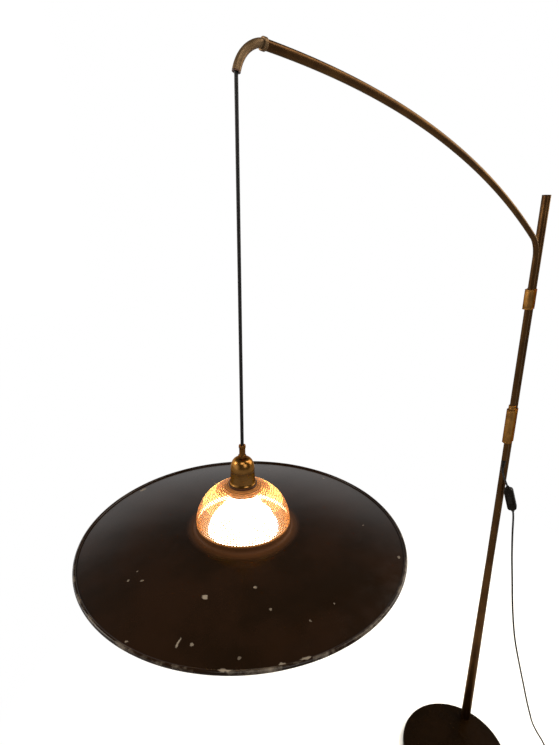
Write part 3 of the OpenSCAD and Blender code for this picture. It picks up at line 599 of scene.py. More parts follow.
@dataclass(frozen=True)
class Knurl:
    """Straight knurl: teeth cut between two heights of a turned piece, where its radius is over least_r."""

    low: float
    high: float
    teeth: int
    depth: float
    least_r: float = 0.0

    def cut(self, outline: Array, segments: int) -> Array:
        """Works out the teeth: a triangle wave of the angle, cut inwards.

        Args:
            outline: Radii and heights, shape (n, 2).
            segments: Steps in a full turn.

        Returns:
            Millimetres added to the radius, shape (n, segments + 1).
        """
        r, h = outline[:, :1], outline[:, 1:]
        a = np.linspace(0, 1, segments + 1) * self.teeth
        wave = 2 * np.abs(a - np.floor(a) - 0.5)
        return -self.depth * ((h > self.low) & (h < self.high) & (r > self.least_r)) * wave


def lathe(name: str, outline: Array | list, origin: Array | Point, ease: float = 0.0, closed: bool = True,
          axis: Array | Point = UP, segments: int = 96, sharp: float = 35.0,
          knurl: Knurl | None = None) -> Piece:
    """Makes a turned piece from its outline.

    Args:
        name: Name of the piece.
        outline: Radii and heights, shape (n, 2).
        origin: Point of height zero on the axis.
        ease: How far each corner is eased.
        closed: Whether the outline is closed. An open one starts and ends on the axis.
        axis: Direction of height.
        segments: Steps in a full turn.
        sharp: Angle in degrees above which an edge stays crisp.
        knurl: Teeth to cut into it.

    Returns:
        The piece.
    """
    shape = rounded(outline, ease, closed=closed) if ease else np.asarray(outline, float)
    ripple = knurl.cut(shape, segments) if knurl else None
    return grid_object(name, turned(shape, origin, axis, segments, closed, ripple), sharp=sharp)


def carried(path: Array, radius: float, sides: int) -> Array:
    """Carries a circle along a path without twist: a ring's normal is the last one made square to the path.

    Args:
        path: Centre of each ring in millimetres, shape (n, 3).
        radius: Radius of the rings.
        sides: Steps round the ring.

    Returns:
        Grid of points, shape (n, sides + 1, 3).
    """
    along = np.gradient(path, axis=0)
    along[np.linalg.norm(along, axis=1) < 1e-9] = (0, 0, 1)
    along /= np.linalg.norm(along, axis=1, keepdims=True)
    normal = np.empty_like(path)
    last = across(along[0])[0]
    for i, t in enumerate(along):
        last = last - (last @ t) * t
        last /= np.linalg.norm(last)
        normal[i] = last
    other = np.cross(along, normal)
    a = np.linspace(0, 2 * np.pi, sides + 1)
    a[-1] = 0.0
    ring = np.cos(a)[None, :, None] * normal[:, None] + np.sin(a)[None, :, None] * other[:, None]
    return path[:, None] + radius * ring


def pipe(name: str, path: Array, outer: float, wall: float) -> Piece:
    """Makes a tube with a wall: the outer rings along the path, the inner rings back, the first ring again.

    Args:
        name: Name of the piece.
        path: Centreline in millimetres, shape (n, 3).
        outer: Outer radius.
        wall: Thickness of the wall.

    Returns:
        The tube.
    """
    out, back = carried(path, outer, 40), carried(path, outer - wall, 40)[::-1]
    return grid_object(name, np.concatenate([out, back, out[:1]]), sharp=60)


def rod(name: str, path: Array, sides: int, sharp: float = 35.0) -> Piece:
    """Makes a length of cord along a path, closed by a point at each end.

    Args:
        name: Name of the piece.
        path: Centreline in millimetres, shape (n, 3).
        sides: Steps round the cord.
        sharp: Angle in degrees above which an edge stays crisp.

    Returns:
        The cord.
    """
    body = carried(path, CORD_R, sides)
    first, last = (np.broadcast_to(path[i], body[:1].shape) for i in (0, -1))
    return grid_object(name, np.concatenate([first, body, last]), sharp=sharp)


def rounded_box_ring(half_w: Array, half_l: Array, corner: Array, per_corner: int = 9) -> Array:
    """Rounded rectangles: a quarter circle about each corner's centre, joined by straight sides.

    Args:
        half_w: Half widths, shape (n,).
        half_l: Half lengths, shape (n,).
        corner: Corner radii, shape (n,).
        per_corner: Points in a quarter circle.

    Returns:
        Points (width, length), shape (n, 4 * per_corner + 1, 2), with the first point repeated.
    """
    quarter = np.linspace(0, np.pi / 2, per_corner)
    a = np.concatenate([quarter + k * np.pi / 2 for k in range(4)])
    sx = np.repeat([1, -1, -1, 1], per_corner)
    sy = np.repeat([1, 1, -1, -1], per_corner)
    w, l, r = (np.asarray(v, float)[:, None] for v in (half_w, half_l, corner))
    ring = np.stack([sx * (w - r) + r * np.cos(a), sy * (l - r) + r * np.sin(a)], -1)
    return np.concatenate([ring, ring[:, :1]], 1)


def smooth_route(points: Array, steps: int) -> Array:
    """Runs a cubic curve through points: each span's slopes are half the chord of its neighbours.

    Args:
        points: Route points, shape (n, 3).
        steps: Parts of each span.

    Returns:
        The denser route, shape ((n - 1) * steps + 1, 3).
    """
    p = np.vstack([points[:1], points, points[-1:]])
    a, b, c, d = (p[i:len(p) - 3 + i, None] for i in range(4))
    t = (np.arange(steps) / steps)[None, :, None]
    square, cube = 2 * a - 5 * b + 4 * c - d, 3 * b - a - 3 * c + d
    curve = (2 * b + (c - a) * t + square * t ** 2 + cube * t ** 3) / 2
    return np.vstack([curve.reshape(-1, 3), points[-1:]])


def joined(name: str, parts: list[Piece]) -> Piece:
    """Puts several meshes into one piece, which keeps their surface maps and crisp edges.

    Args:
        name: Name of the piece.
        parts: The meshes; the first one stays and the others are removed.

    Returns:
        The one piece.
    """
    with bpy.context.temp_override(active_object=parts[0], selected_editable_objects=parts):
        bpy.ops.object.join()
    parts[0].name = parts[0].data.name = name
    return parts[0]


def fit(piece: Piece, body: str | None, finishes: list[Finish], slot: str, *nodes: str) -> Piece:
    """Dresses a piece, lets it ride a body and stand for CAD nodes, and reports it.

    Args:
        piece: The finished mesh.
        body: Body it moves with, or None for a piece that bends between bodies.
        finishes: One finish for each material number.
        slot: Name of a material slot; not used.
        *nodes: CAD nodes that it replaces.

    Returns:
        The piece.
    """
    if not piece.data.materials:
        for finish in finishes:
            piece.data.materials.append(finish.material())
    if body:
        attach(piece, body)
    if nodes:
        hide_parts(*nodes)
    log.info("%s: %d faces", piece.name, len(piece.data.polygons))
    return piece


def dress(finish: Finish, *nodes: str) -> None:
    """Gives CAD nodes that keep their own shape a finish.

    Args:
        finish: The finish.
        *nodes: Names of the nodes.
    """
    for node in nodes:
        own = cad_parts[node]
        own.data.materials.clear()
        own.data.materials.append(finish.material())
        log.info("%s keeps its solid", node)


def placed(name: str, data: bpy.types.ID, axes: tuple[Array, Array, Array], place: Point) -> Piece:
    """Puts a camera or a light into the scene.

    Args:
        name: Its name.
        data: The camera or light.
        axes: Its own right, up and back.
        place: Its place in millimetres.

    Returns:
        The object.
    """
    made = bpy.data.objects.new(name, data)
    bpy.context.scene.collection.objects.link(made)
    columns = np.stack([*axes, np.array(place) * MM], 1)
    made.matrix_world = Matrix([*columns.tolist(), [0, 0, 0, 1]])
    return made


# Sub-assemblies

@dataclass
class Studio:
    """Camera at the photographed angle, pale floor, white backdrop and soft light."""

    eye: Point = (-1149.07, -521.13, 1592.87)
    right: Point = (0.77025, -0.63770, 0.00734)
    down: Point = (-0.18267, -0.23163, -0.95550)
    forward: Point = (0.61102, 0.73463, -0.29491)
    lens: float = 24.08
    sensor: float = 36.0
    floor_half: float = 9000.0

    def camera(self) -> None:
        """Sets the camera from its three directions; it looks along its own -Z."""
        data = bpy.data.cameras.new("camera")
        data.lens, data.sensor_width = self.lens, self.sensor
        data.clip_start, data.clip_end = 0.02, 60.0
        axes = (np.array(self.right), -np.array(self.down), -np.array(self.forward))
        bpy.context.scene.camera = placed("camera", data, axes, self.eye)

    def seen(self, tree: Tree) -> Socket:
        """Marks the rays that show the background: straight, mirrored or through glass.

        Args:
            tree: Node tree of the floor or the world.

        Returns:
            The output that is 1 for such a ray.
        """
        path = add_node(tree, "LightPath").outputs
        some = add_node(tree, "Math", {
            0: path["Is Camera Ray"], 1: path["Is Glossy Ray"]}, operation="MAXIMUM")
        return add_node(tree, "Math", {
            0: some, 1: path["Is Transmission Ray"]}, operation="MAXIMUM").outputs[0]

    def level(self, tree: Tree, toward: Point, span: tuple[float, float], ends: tuple[float, float]) -> Node:
        """Eases brightness between two ends as a ray turns towards a direction.

        Args:
            tree: The world's node tree.
            toward: The direction.
            span: Cosines where the change starts and ends.
            ends: Brightness before and after it.

        Returns:
            The node with the brightness.
        """
        way = add_node(tree, "TexCoord").outputs["Generated"]
        cosine = add_node(tree, "VectorMath", {0: way, 1: toward}, operation="DOT_PRODUCT").outputs["Value"]
        return add_node(tree, "MapRange", {
            "Value": cosine, "From Min": span[0], "From Max": span[1], "To Min": ends[0], "To Max": ends[1]},
            interpolation_type="SMOOTHSTEP")

    def backdrop(self) -> None:
        """White backdrop; metal mirrors a dim room and ceiling and a bright wall at the camera's left."""
        world = bpy.data.worlds.new("studio")
        bpy.context.scene.world = world
        world.use_nodes = True
        tree = world.node_tree
        tree.nodes.clear()
        ceiling = self.level(tree, UP, (0.3, 0.6), (1.0, 0.2))
        room = self.level(tree, (self.forward[0], self.forward[1], 0.0), (-0.35, 0.55), (0.22, 1.0))
        window = self.level(tree, (-self.right[0], -self.right[1], 0.0), (0.35, 0.9), (0.0, 2.2))
        walls = add_node(tree, "Math", {0: room, 1: window}, operation="ADD")
        mirrored = add_node(tree, "Math", {0: ceiling, 1: walls}, operation="MULTIPLY")
        straight = add_node(tree, "LightPath").outputs["Is Camera Ray"]
        strength = add_node(tree, "Math", {0: mirrored, 1: straight}, operation="MAXIMUM")
        shown = add_node(tree, "Background", {"Color": (1, 1, 1, 1), "Strength": strength})
        even = add_node(tree, "Background", {"Color": (1.0, 0.985, 0.96, 1), "Strength": 0.55})
        mixed = add_node(tree, "MixShader", {0: self.seen(tree), 1: even, 2: shown})
        add_node(tree, "OutputWorld", {"Surface": mixed})

    def floor(self) -> None:
        """Pale floor that keeps the shadow near the lamp and runs out to white."""
        points = np.array([[-1, -1, 0], [1, -1, 0], [1, 1, 0], [-1, 1, 0.0]]) * self.floor_half
        ground = new_object("floor", points, np.array([[0, 1, 2, 3]]))
        made = bpy.data.materials.new("pale_floor")
        made.use_nodes = True
        tree = made.node_tree
        tree.nodes.clear()
        where = add_node(tree, "TexCoord").outputs["Object"]
        far = add_node(tree, "VectorMath", {0: where}, operation="LENGTH").outputs["Value"]
        fade = add_node(tree, "MapRange", {
            "Value": far, "From Min": 0.35, "From Max": 1.5}, interpolation_type="SMOOTHSTEP").outputs[0]
        # Grit of 4 mm
        grit = add_node(tree, "TexNoise", {"Vector": where, "Scale": 1000 / 4.0, "Detail": 3.0})
        tint = add_node(tree, "Mix", {
            0: grit, COLOUR_A: linear("#f6f4f0"), COLOUR_B: linear("#fbfaf7")},
            data_type="RGBA").outputs[MIXED]
        matt = add_node(tree, "BsdfDiffuse", {"Color": tint})
        white = add_node(tree, "Emission", {"Color": (1, 1, 1, 1), "Strength": 1.0})
        share = add_node(tree, "Math", {0: fade, 1: self.seen(tree)}, operation="MULTIPLY")
        mixed = add_node(tree, "MixShader", {0: share, 1: matt, 2: white})
        add_node(tree, "OutputMaterial", {"Surface": mixed})
        ground.data.materials.append(made)

    def lamp(self, name: str, place: Point, target: Point, size: tuple, power: float, colour: str) -> None:
        """Adds a soft upright light that faces a point.

        Args:
            name: Name of the light.
            place: Its centre in millimetres.
            target: The point it faces.
            size: Its width and height in metres.
            power: Watts.
            colour: sRGB hex colour.
        """
        data = bpy.data.lights.new(name, "AREA")
        data.shape, data.energy, data.color = "RECTANGLE", power, linear(colour)[:3]
        data.size, data.size_y = size
        back = np.array(place, float) - np.array(target, float)
        back /= np.linalg.norm(back)
        side = np.cross(UP, back)
        side /= np.linalg.norm(side)
        placed(name, data, (side, np.cross(back, side), back), place)

    def build(self) -> None:
        """Makes the camera, the backdrop, the floor and the lights."""
        bpy.context.scene.view_settings.view_transform = "Standard"
        self.camera()
        self.backdrop()
        self.floor()
        self.lamp("window_left", (-2300, 1300, 2300), (-200, 30, 1100), (0.9, 0.9), 46.0, "#fff6e8")
        self.lamp("soft_front", (-900, -2600, 2600), (-200, 30, 900), (1.3, 1.5), 38.0, "#ffffff")
        self.lamp("soft_over", (-1500, -1100, 3400), (-100, 0, 300), (1.2, 1.2), 34.0, "#fffaf2")
        self.lamp("window_right", (2500, -800, 2900), (-350, 30, 1700), (2.4, 2.6), 170.0, "#fff4e6")
        self.lamp("ceiling_right", (640, -800, 3330), (-700, 30, 1800), (0.8, 0.8), 30.0, "#fff4e6")


@dataclass
class Stand:
    """Cast base on felt, tapered pole and its cap."""

    base_r: float = 153.0
    felt: float = 2.0
    base_top: float = 25.0
    edge: float = 4.0
    chamfer: float = 1.0
    pole: Point = POLE
    pole_r: float = 10.0
    foot_r: float = 14.5
    wall: float = 2.0
    taper_top: float = 650.0
    pole_top: float = 1649.0
    cap_r: float = 10.3
    cap_t: float = 2.0
    spigot: float = 12.0

    def casting(self) -> Piece:
        """Disc with a quarter-round upper edge and a small chamfer at the felt.

        Returns:
            The piece.
        """
        a = np.linspace(0, np.pi / 2, 9)
        r, e, low, top, c = self.base_r, self.edge, self.felt, self.base_top, self.chamfer
        quarter = np.stack([r - e + e * np.cos(a), top - e + e * np.sin(a)], 1)
        inner = np.stack([np.linspace(r - e - 2, 0, 8), np.full(8, top)], 1)
        outline = np.vstack([[[0, low], [r - c, low], [r, low + c]], quarter, inner])
        return lathe("base_casting", outline, (0.0, 0.0, 0.0), closed=False, segments=192)

    def tube(self) -> Piece:
        """Pole: straight above, a long cone below, with eased ends.

        Returns:
            The piece.
        """
        line = np.array([
            [self.foot_r, self.base_top], [self.pole_r, self.taper_top], [self.pole_r, self.pole_top]])
        outline = np.vstack([line, line[::-1] - [self.wall, 0]])
        return lathe("pole_tube", outline, self.pole, 0.5, segments=64, sharp=50)

    def cap(self) -> Piece:
        """Thin cap: a spigot in the tube and a disc with eased edges, a hair crowned.

        Returns:
            The piece.
        """
        z, r, inner = self.pole_top, self.cap_r, self.pole_r - self.wall - PLAY
        top, low = z + self.cap_t, z - self.spigot
        outline = [[0, low], [inner, low], [inner, z], [r, z], [r, top - 0.3], [r - 1.5, top], [0, top]]
        return lathe("pole_top_cap", outline, self.pole, 0.5, False, segments=64)

    def build(self) -> None:
        """Builds and dresses the stand."""
        fit(self.casting(), "stand", [BLACK_CASTING], "cast_base", "base_disc")
        fit(self.tube(), "stand", [BRONZE], "bronze_paint", "pole_taper", "pole")
        fit(self.cap(), "stand", [BRONZE], "bronze_paint", "pole_cap")
        dress(FELT, "felt_pad")
        dress(STEEL, "foot_plug", "base_bolt", "base_washer")


@dataclass
class Carriage:
    """Two brass clamps that slide on the pole, with their lock screws."""

    pole: Point = POLE
    leg: Point = LEG
    pole_bore: float = 10.05
    leg_bore: float = 6.55
    pole_sleeve: float = 12.05
    leg_sleeve: float = 12.05
    groove: float = 0.35
    upper: tuple[float, float] = (1383.0, 1432.0)
    lower: tuple[float, float] = (1023.0, 1117.0)
    lock_angle: float = 24.0
    lock_out: float = 17.05
    boss_r: float = 6.0
    boss_sunk: float = 1.2
    shank_r: float = 3.0
    shank_gap: float = 0.3
    knob_r: float = 9.0
    knob_len: float = 11.0
    knob_teeth: int = 36

    def lock_axis(self) -> Array:
        """Returns the direction of the lock screws."""
        a = math.radians(self.lock_angle)
        return np.array([math.cos(a), math.sin(a), 0.0])

    def sleeve(self, name: str, place: Point, bore: float, outer: float, low: float, high: float) -> Piece:
        """Turned sleeve with eased ends and a fine groove near each end.

        Args:
            name: Name of the sleeve.
            place: Point on its axis.
            bore: Inner radius.
            outer: Outer radius.
            low: Height of its lower end.
            high: Height of its upper end.

        Returns:
            The sleeve.
        """
        end = np.array([[0, 0], [0, 3.2], [-self.groove, 3.5], [-self.groove, 4.1], [0, 4.4]])
        lower, upper = [outer, low] + end, ([outer, high] + end * [1, -1])[::-1]
        return lathe(name, np.vstack([[[bore, low]], lower, upper, [[bore, high]]]), place, 0.5, segments=72)

    def clamp(self, name: str, low: float, high: float) -> Piece:
        """Double sleeve with a boss for the lock screw.

        Args:
            name: Name of the clamp.
            low: Height of its lower end.
            high: Height of its upper end.

        Returns:
            The clamp as one piece.
        """
        middle = (self.pole[0], self.pole[1], (low + high) / 2)
        bore, root = self.shank_r + PLAY, self.pole_sleeve - self.boss_sunk
        boss = [[bore, root], [self.boss_r, root], [self.boss_r, self.lock_out], [bore, self.lock_out]]
        return joined(name, [
            self.sleeve(name, self.pole, self.pole_bore, self.pole_sleeve, low, high),
            self.sleeve(name + "_leg", self.leg, self.leg_bore, self.leg_sleeve, low, high),
            lathe(name + "_boss", boss, middle, 0.6, axis=self.lock_axis(), segments=48),
        ])

    def lock_screw(self, name: str, height: float) -> Piece:
        """Knurled knob with a domed end on a plain shank.

        Args:
            name: Name of the screw.
            height: Height of its axis.

        Returns:
            The screw.
        """
        tip, a, r = self.pole_bore + 0.25, self.lock_out + self.shank_gap, self.knob_r
        b = a + self.knob_len
        outline = [[0, tip], [self.shank_r, tip], [self.shank_r, a], [r - 1.4, a], [r, a + 1.4], [r, b - 1.6],
                   [r - 1.6, b - 0.2], [r - 4.5, b], [0, b]]
        place, teeth = (self.pole[0], self.pole[1], height), Knurl(a + 1.0, b - 1.2, self.knob_teeth, 0.55)
        return lathe(name, outline, place, 0.4, False, self.lock_axis(), 144, 40, teeth)

    def build(self) -> None:
        """Builds and dresses the clamps and lock screws."""
        for side, (low, high) in (("upper", self.upper), ("lower", self.lower)):
            clamp = self.clamp(f"{side}_double_clamp", low, high)
            fit(clamp, "carriage", [CLAMP_BRASS], "clamp_brass", f"{side}_clamp")
            screw = self.lock_screw(f"{side}_knurled_screw", (low + high) / 2)
            fit(screw, f"{side}_lock", [DARK_BRASS], "old_brass", f"{side}_lock_screw")


@dataclass
class Arm:
    """Curved arm: leg, tight bend, long sweep and tip, with its ring, outlet, bushes and inner cord."""

    leg: Point = LEG
    tube_r: float = 6.5
    wall: float = 1.25
    leg_end: float = 971.0
    bend_z: float = 1505.0
    bend_r: float = 60.0
    bend_a: float = 59.6
    sweep_r: float = 1760.0
    sweep_a: float = 27.0
    tip: float = 11.5
    plate: float = 1.5
    ring_r: float = 8.0
    bush_bore: float = 2.8
    collar_r: float = 8.9
    collar_low: float = 1117.3
    cord_low: float = 959.3
    outlet_r: float = 5.5
    outlet_wall: float = 1.0
    root_r: float = 14.0
    root_a: float = 20.0
    outlet_bend: float = 48.0
    mouth_lean: float = 17.0
    outlet_drop: float = 3.4

    def turn(self, start: Array, heading: float, radius: float, angle: Array) -> Array:
        """Points of an arc in the arm's plane: distance r(cos h - cos(h+a)), height r(sin(h+a) - sin h)."""
        h, a = math.radians(heading), np.radians(angle)
        return start + radius * np.stack([math.cos(h) - np.cos(h + a), np.sin(h + a) - math.sin(h)], -1)

    def go(self, start: Array, heading: float, length: float) -> Array:
        """The point a length away along a heading, which is the angle from straight up."""
        h = math.radians(heading)
        return start + length * np.array([math.sin(h), math.cos(h)])

    def in_space(self, plane: Array) -> Array:
        """Places points (distance from the leg, height) in space."""
        s, h = plane[:, 0], plane[:, 1]
        return np.stack([self.leg[0] - s, np.full_like(s, self.leg[1]), h], 1)

    def bow(self) -> Array:
        """Works out the bend, the sweep and the tip.

        Returns:
            Points in the plane.
        """
        start = np.array([0.0, self.bend_z])
        first = self.turn(start, 0, self.bend_r, np.linspace(0, self.bend_a, 49))
        second = self.turn(first[-1], self.bend_a, self.sweep_r, np.linspace(0, self.sweep_a, 121)[1:])
        end = self.go(second[-1], self.heading(), self.tip)
        return np.vstack([first, second, end])

    def heading(self) -> float:
        """Returns the heading of the arm's tip."""
        return self.bend_a + self.sweep_a

    def hook(self) -> Array:
        """Works out the outlet: a short run, a tight turn, a wide bend and the leaning mouth.

        Returns:
            Points in the plane.
        """
        tip, heading, down = self.bow()[-1], self.heading(), 180 - self.mouth_lean
        start = self.go(tip, heading, self.plate)
        root = self.turn(start, heading, self.root_r, np.linspace(0, self.root_a, 9))
        heading += self.root_a
        bend = self.turn(root[-1], heading, self.outlet_bend, np.linspace(0, down - heading, 33)[1:])
        return np.vstack([tip, root, bend, self.go(bend[-1], down, self.outlet_drop)])

    def tube(self) -> Piece:
        """Arm as one bent tube."""
        straight = np.stack([np.zeros(30), np.linspace(self.leg_end, self.bend_z - 5, 30)], 1)
        return pipe("arm_bent_tube", self.in_space(np.vstack([straight, self.bow()])), self.tube_r, self.wall)

    def tip_ring(self) -> Piece:
        """Cap ring on the arm's end: a sleeve with a groove, and an eased plate round the outlet's root.

        Returns:
            The piece.
        """
        h, low, top = math.radians(self.heading()), -4.0, self.plate
        bore, root, r, g = self.tube_r + PLAY, self.outlet_r + PLAY, self.ring_r, self.ring_r - 0.3
        outline = [[bore, low], [g, low], [r, low + 0.3], [r, -1.6], [g, -1.4], [g, -1.1], [r, -0.9],
                   [r, 0.9], [r - 0.6, top], [root, top], [root, 0], [bore, 0]]
        return lathe("arm_tip_ring", outline, self.in_space(self.bow()[-1:])[0], 0.2,
                     axis=(-math.sin(h), 0.0, math.cos(h)), segments=64)

    def outlet(self) -> Piece:
        """Returns the outlet tube from the arm's end to its mouth."""
        return pipe("outlet_tube", self.in_space(self.hook()), self.outlet_r, self.outlet_wall)

    def mouth_bush(self) -> Piece:
        """Flared bush in the outlet's mouth, which leans with it.

        Returns:
            The piece.
        """
        lean, r, bore, neck = math.radians(self.mouth_lean), self.outlet_r, self.bush_bore, 4.41
        outline = [[3.8, -1.5], [r, -1.5], [r, 0], [neck, 0], [neck, 3], [bore, 3], [bore, 0]]
        return lathe("outlet_flared_bush", outline, self.in_space(self.hook()[-1:])[0], 0.3,
                     axis=(math.sin(lean), 0.0, math.cos(lean)), segments=48)

    def leg_bush(self) -> Piece:
        """Bush and ribbed strain relief under the leg: the taper's radius steps in and out five times.

        Returns:
            The piece.
        """
        bore, r, neck, deep = self.bush_bore, self.tube_r, 5.2, 12
        z = np.linspace(-22, -2.6, 41)
        taper = 3.9 + 1.6 * (z + 22) / 20
        ribs = taper - 0.45 * (np.sin((z + 22) / 19.4 * 5 * 2 * np.pi) > 0.2)
        outline = np.vstack([[[bore, -22]], np.stack([ribs, z], 1),
                             [[r, -2], [r, 0], [neck, 0], [neck, deep], [bore, deep]]])
        return lathe("leg_strain_relief", outline, (self.leg[0], self.leg[1], self.leg_end), segments=48)

    def cord_inside(self) -> Piece:
        """Cord through the arm, from the strain relief to just above the mouth.

        Returns:
            The piece.
        """
        hook = self.hook()
        start = [[0, self.cord_low], [0, self.bend_z - 5]]
        end = self.go(hook[-1], 180 - self.mouth_lean, -1.6)
        return rod("cord_in_arm", self.in_space(np.vstack([start, self.bow(), hook[1:-1], end])), 12)

    def collar(self) -> Piece:
        """Collar that rests the arm on the lower clamp, with an eased groove.

        Returns:
            The piece.
        """
        low, r, g, bore = self.collar_low, self.collar_r, self.collar_r - 0.5, self.tube_r + PLAY
        outline = [[bore, low], [r, low], [r, low + 3.4], [g, low + 3.8], [g, low + 4.6], [r, low + 5],
                   [r, low + 11], [r - 1, low + 12], [bore, low + 12]]
        return lathe("leg_stop_collar", outline, self.leg, 0.4, segments=64)

    def build(self) -> None:
        """Builds and dresses the arm."""
        fit(self.tube(), "arm", [BRONZE], "bronze_paint", "arm_leg", "arm_bow")
        fit(self.tip_ring(), "arm", [OUTLET_BRONZE], "old_brass", "end_ring")
        fit(self.outlet(), "arm", [OUTLET_BRONZE], "old_brass", "outlet_bend")
        fit(self.mouth_bush(), "arm", [BROWN_MOULDED], "plastic", "outlet_bush")
        fit(self.leg_bush(), "arm", [BLACK_MOULDED], "plastic", "leg_end_bush")
        fit(self.cord_inside(), "arm", [CORD_PLASTIC], "cord", "inner_cord")
        fit(self.collar(), "arm", [CLAMP_BRASS], "clamp_brass", "stop_collar")
        dress(STEEL, "arm_ferrule")


@dataclass
class Pendant:
    """Drop cord, lampholder, perforated dome, enamel shade and lit globe.

    The dome has a hole in each cell of its rows and columns; hole is its radius as a share of the cell, and
    the rows whose hole walls get the inside's painted light are listed after hole.
    """

    swing: Point = SWING
    drop_len: float = 485.0
    grip_h: float = 16.5
    cap_h: float = 46.5
    flange: float = 3.5
    dome_rise: float = 60.0
    shade_h: float = 31.5
    globe_drop: float = 85.5
    glass_drop: float = 13.5
    holder_r: float = 18.0
    dome_r: float = 72.0
    dome_tall: float = 63.64
    sheet: float = 0.8
    band: float = 2.0
    seat_r: float = 21.8
    columns: int = 100
    rows: int = 24
    hole: float = 0.43
    painted_light_rows: tuple[int, int] = (10, 18)
    globe_r: float = 55.0
    thread_pitch: float = 3.6

    def __post_init__(self) -> None:
        """Works out the heights, which count down from the mouth."""
        self.x, self.y, self.mouth = self.swing
        self.grip_top = self.mouth - self.drop_len
        self.cap_top = self.grip_top - self.grip_h
        self.cap_low = self.cap_top - self.cap_h
        self.seat = self.cap_low - self.flange
        self.lip = self.seat - self.dome_rise
        self.rim = self.lip - self.shade_h
        self.globe_z = self.seat - self.globe_drop
        self.glass_top = self.seat - self.glass_drop

    def at(self, height: float) -> Point:
        """Returns the point of the pendant's axis at a height."""
        return (self.x, self.y, height)

    def drop_cord(self) -> Piece:
        """Straight cord with round ends that sit in the bush above and the grip below.

        Returns:
            The piece.
        """
        low, high, r = self.grip_top - 1.0, self.mouth, CORD_R
        a = np.linspace(0, np.pi / 2, 6)
        bottom = np.stack([r * np.sin(a), low - r * np.cos(a)], 1)
        top = np.stack([r * np.cos(a), high + r * np.sin(a)], 1)
        between = np.stack([np.full(40, r), np.linspace(low, high, 42)[1:-1]], 1)
        outline = np.vstack([bottom, between, top])
        outline[[0, -1], 0] = 0.0
        return lathe("drop_cord_line", outline, self.at(0), closed=False, segments=24, sharp=60)

    def grip(self) -> Piece:
        """Cord grip: thread through the cap, foot ring, waist, and a rounded head with a flared mouth.

        Returns:
            The piece.
        """
        t, bore, thread, waist, full = self.grip_h - 1.0, 2.8, 4.45, 4.6, 5.25
        outline = [[bore, -8.2], [thread, -8.2], [thread, -5.1], [5.0, -5.1], [full, -4.6], [full, -1.8],
                   [4.75, -1.2], [waist, 2.4], [waist, t - 5.6], [4.9, t - 5.0], [full, t - 4.2],
                   [full, t - 1.6], [4.9, t - 0.3], [4.55, t], [4.0, t], [bore, t - 2]]
        return lathe("cord_grip_turned", outline, self.at(self.cap_top), 0.3, segments=56)

    def bell(self) -> Piece:
        """Bell cap: a skirt that widens downwards to a rolled edge, and a superellipse of power 2.4 above.

        Returns:
            The piece.
        """
        h, r, top_r, w, hole = 41.4, 19.5, 18.0, 1.2, 4.6
        start, full, eye = 21.0, 2 / 2.4, hole + 0.6
        a = np.linspace(0, np.pi / 2, 26)
        out, up = np.cos(a) ** full, np.sin(a) ** full
        side = np.stack([eye + (top_r - eye) * out, start + (h - start) * up], 1)
        inside = np.stack([eye + (top_r - eye - w) * out, start + (h - start - w) * up], 1)
        z = np.linspace(2.4, start, 9)[:-1]
        skirt = np.stack([top_r + (r - top_r) * (1 - z / start) ** 1.6, z], 1)
        foot = [[r - w, 0], [r + 0.4, 0], [r + 0.6, 0.4], [r + 0.6, 1.2], [r + 0.3, 1.8]]
        outline = np.vstack([foot, skirt, side, [[hole, h], [hole, h - w]], inside[::-1], [[r - w, 2]]])
        return lathe("bell_cap", outline, self.at(self.cap_low), segments=128, sharp=40)

    def holder(self) -> Piece:
        """Moulded holder: flange with a milled edge between cap and dome, and the skirt that holds the shell.

        Returns:
            The piece.
        """
        bore, r, wide, f = 14.4, self.holder_r, 21.5, self.flange
        outline = [[bore, -12], [r, -12], [r, 0], [wide, 0], [wide, f], [r, f], [r, 25.5], [bore, 25.5]]
        milled = Knurl(0.5, f - 0.5, 60, 0.3, wide - 0.5)
        return lathe("holder_moulding", outline, self.at(self.seat), 0.6, segments=240, sharp=45,
                     knurl=milled)

    def ring(self) -> Piece:
        """Ring under the dome's seat, with a milled outside.

        Returns:
            The piece.
        """
        bore, r, place = self.holder_r + PLAY, 28.0, self.at(self.seat - self.sheet)
        outline = [[bore, -8.7], [r - 1, -8.7], [r, -7.7], [r, -2.4], [23, 0], [bore, 0]]
        milled = Knurl(-7.4, -2.6, 80, 0.4, r - 2)
        return lathe("shade_ring_milled", outline, place, 0.5, segments=320, sharp=45, knurl=milled)

    def dome_outline(self) -> tuple[Array, Array]:
        """Works out the dome's curve at even steps of length, from its plain band to its seat.

        Returns:
            Radii and heights.
        """
        top = math.asin(self.dome_rise / self.dome_tall)
        a = np.linspace(math.asin(self.band / self.dome_tall), top, 400)
        r, h = self.dome_r * np.cos(a), self.dome_tall * np.sin(a)
        r, h = np.append(r, self.seat_r), np.append(h, self.dome_rise)
        length = np.concatenate([[0], np.cumsum(np.hypot(np.diff(r), np.diff(h)))])
        even = np.linspace(0, length[-1], 2 * self.rows + 1)
        return np.interp(even, length, r), np.interp(even, length, h)

    def perforated(self) -> Piece:
        """Sheet with a round hole in each cell of a grid of rows and columns.

        A point of the sheet is given by its column turn u and row v, in cells: the outline's radius and
        height at v, turned by u. A hole is eight points round its cell's centre, joined to the cell's
        corners and mid-sides, on the outer face and, moved in by the sheet's thickness, on the inner one.

        Returns:
            The closed, pierced sheet.
        """
        n, m, s = self.columns, self.rows, self.sheet
        radius, height = self.dome_outline()
        steps = np.arange(2 * m + 1) / 2
        slope_r, slope_h = np.gradient(radius, steps), np.gradient(height, steps)
        size = np.hypot(slope_r, slope_h)
        inner_r, inner_h = radius - s * slope_h / size, height + s * slope_r / size

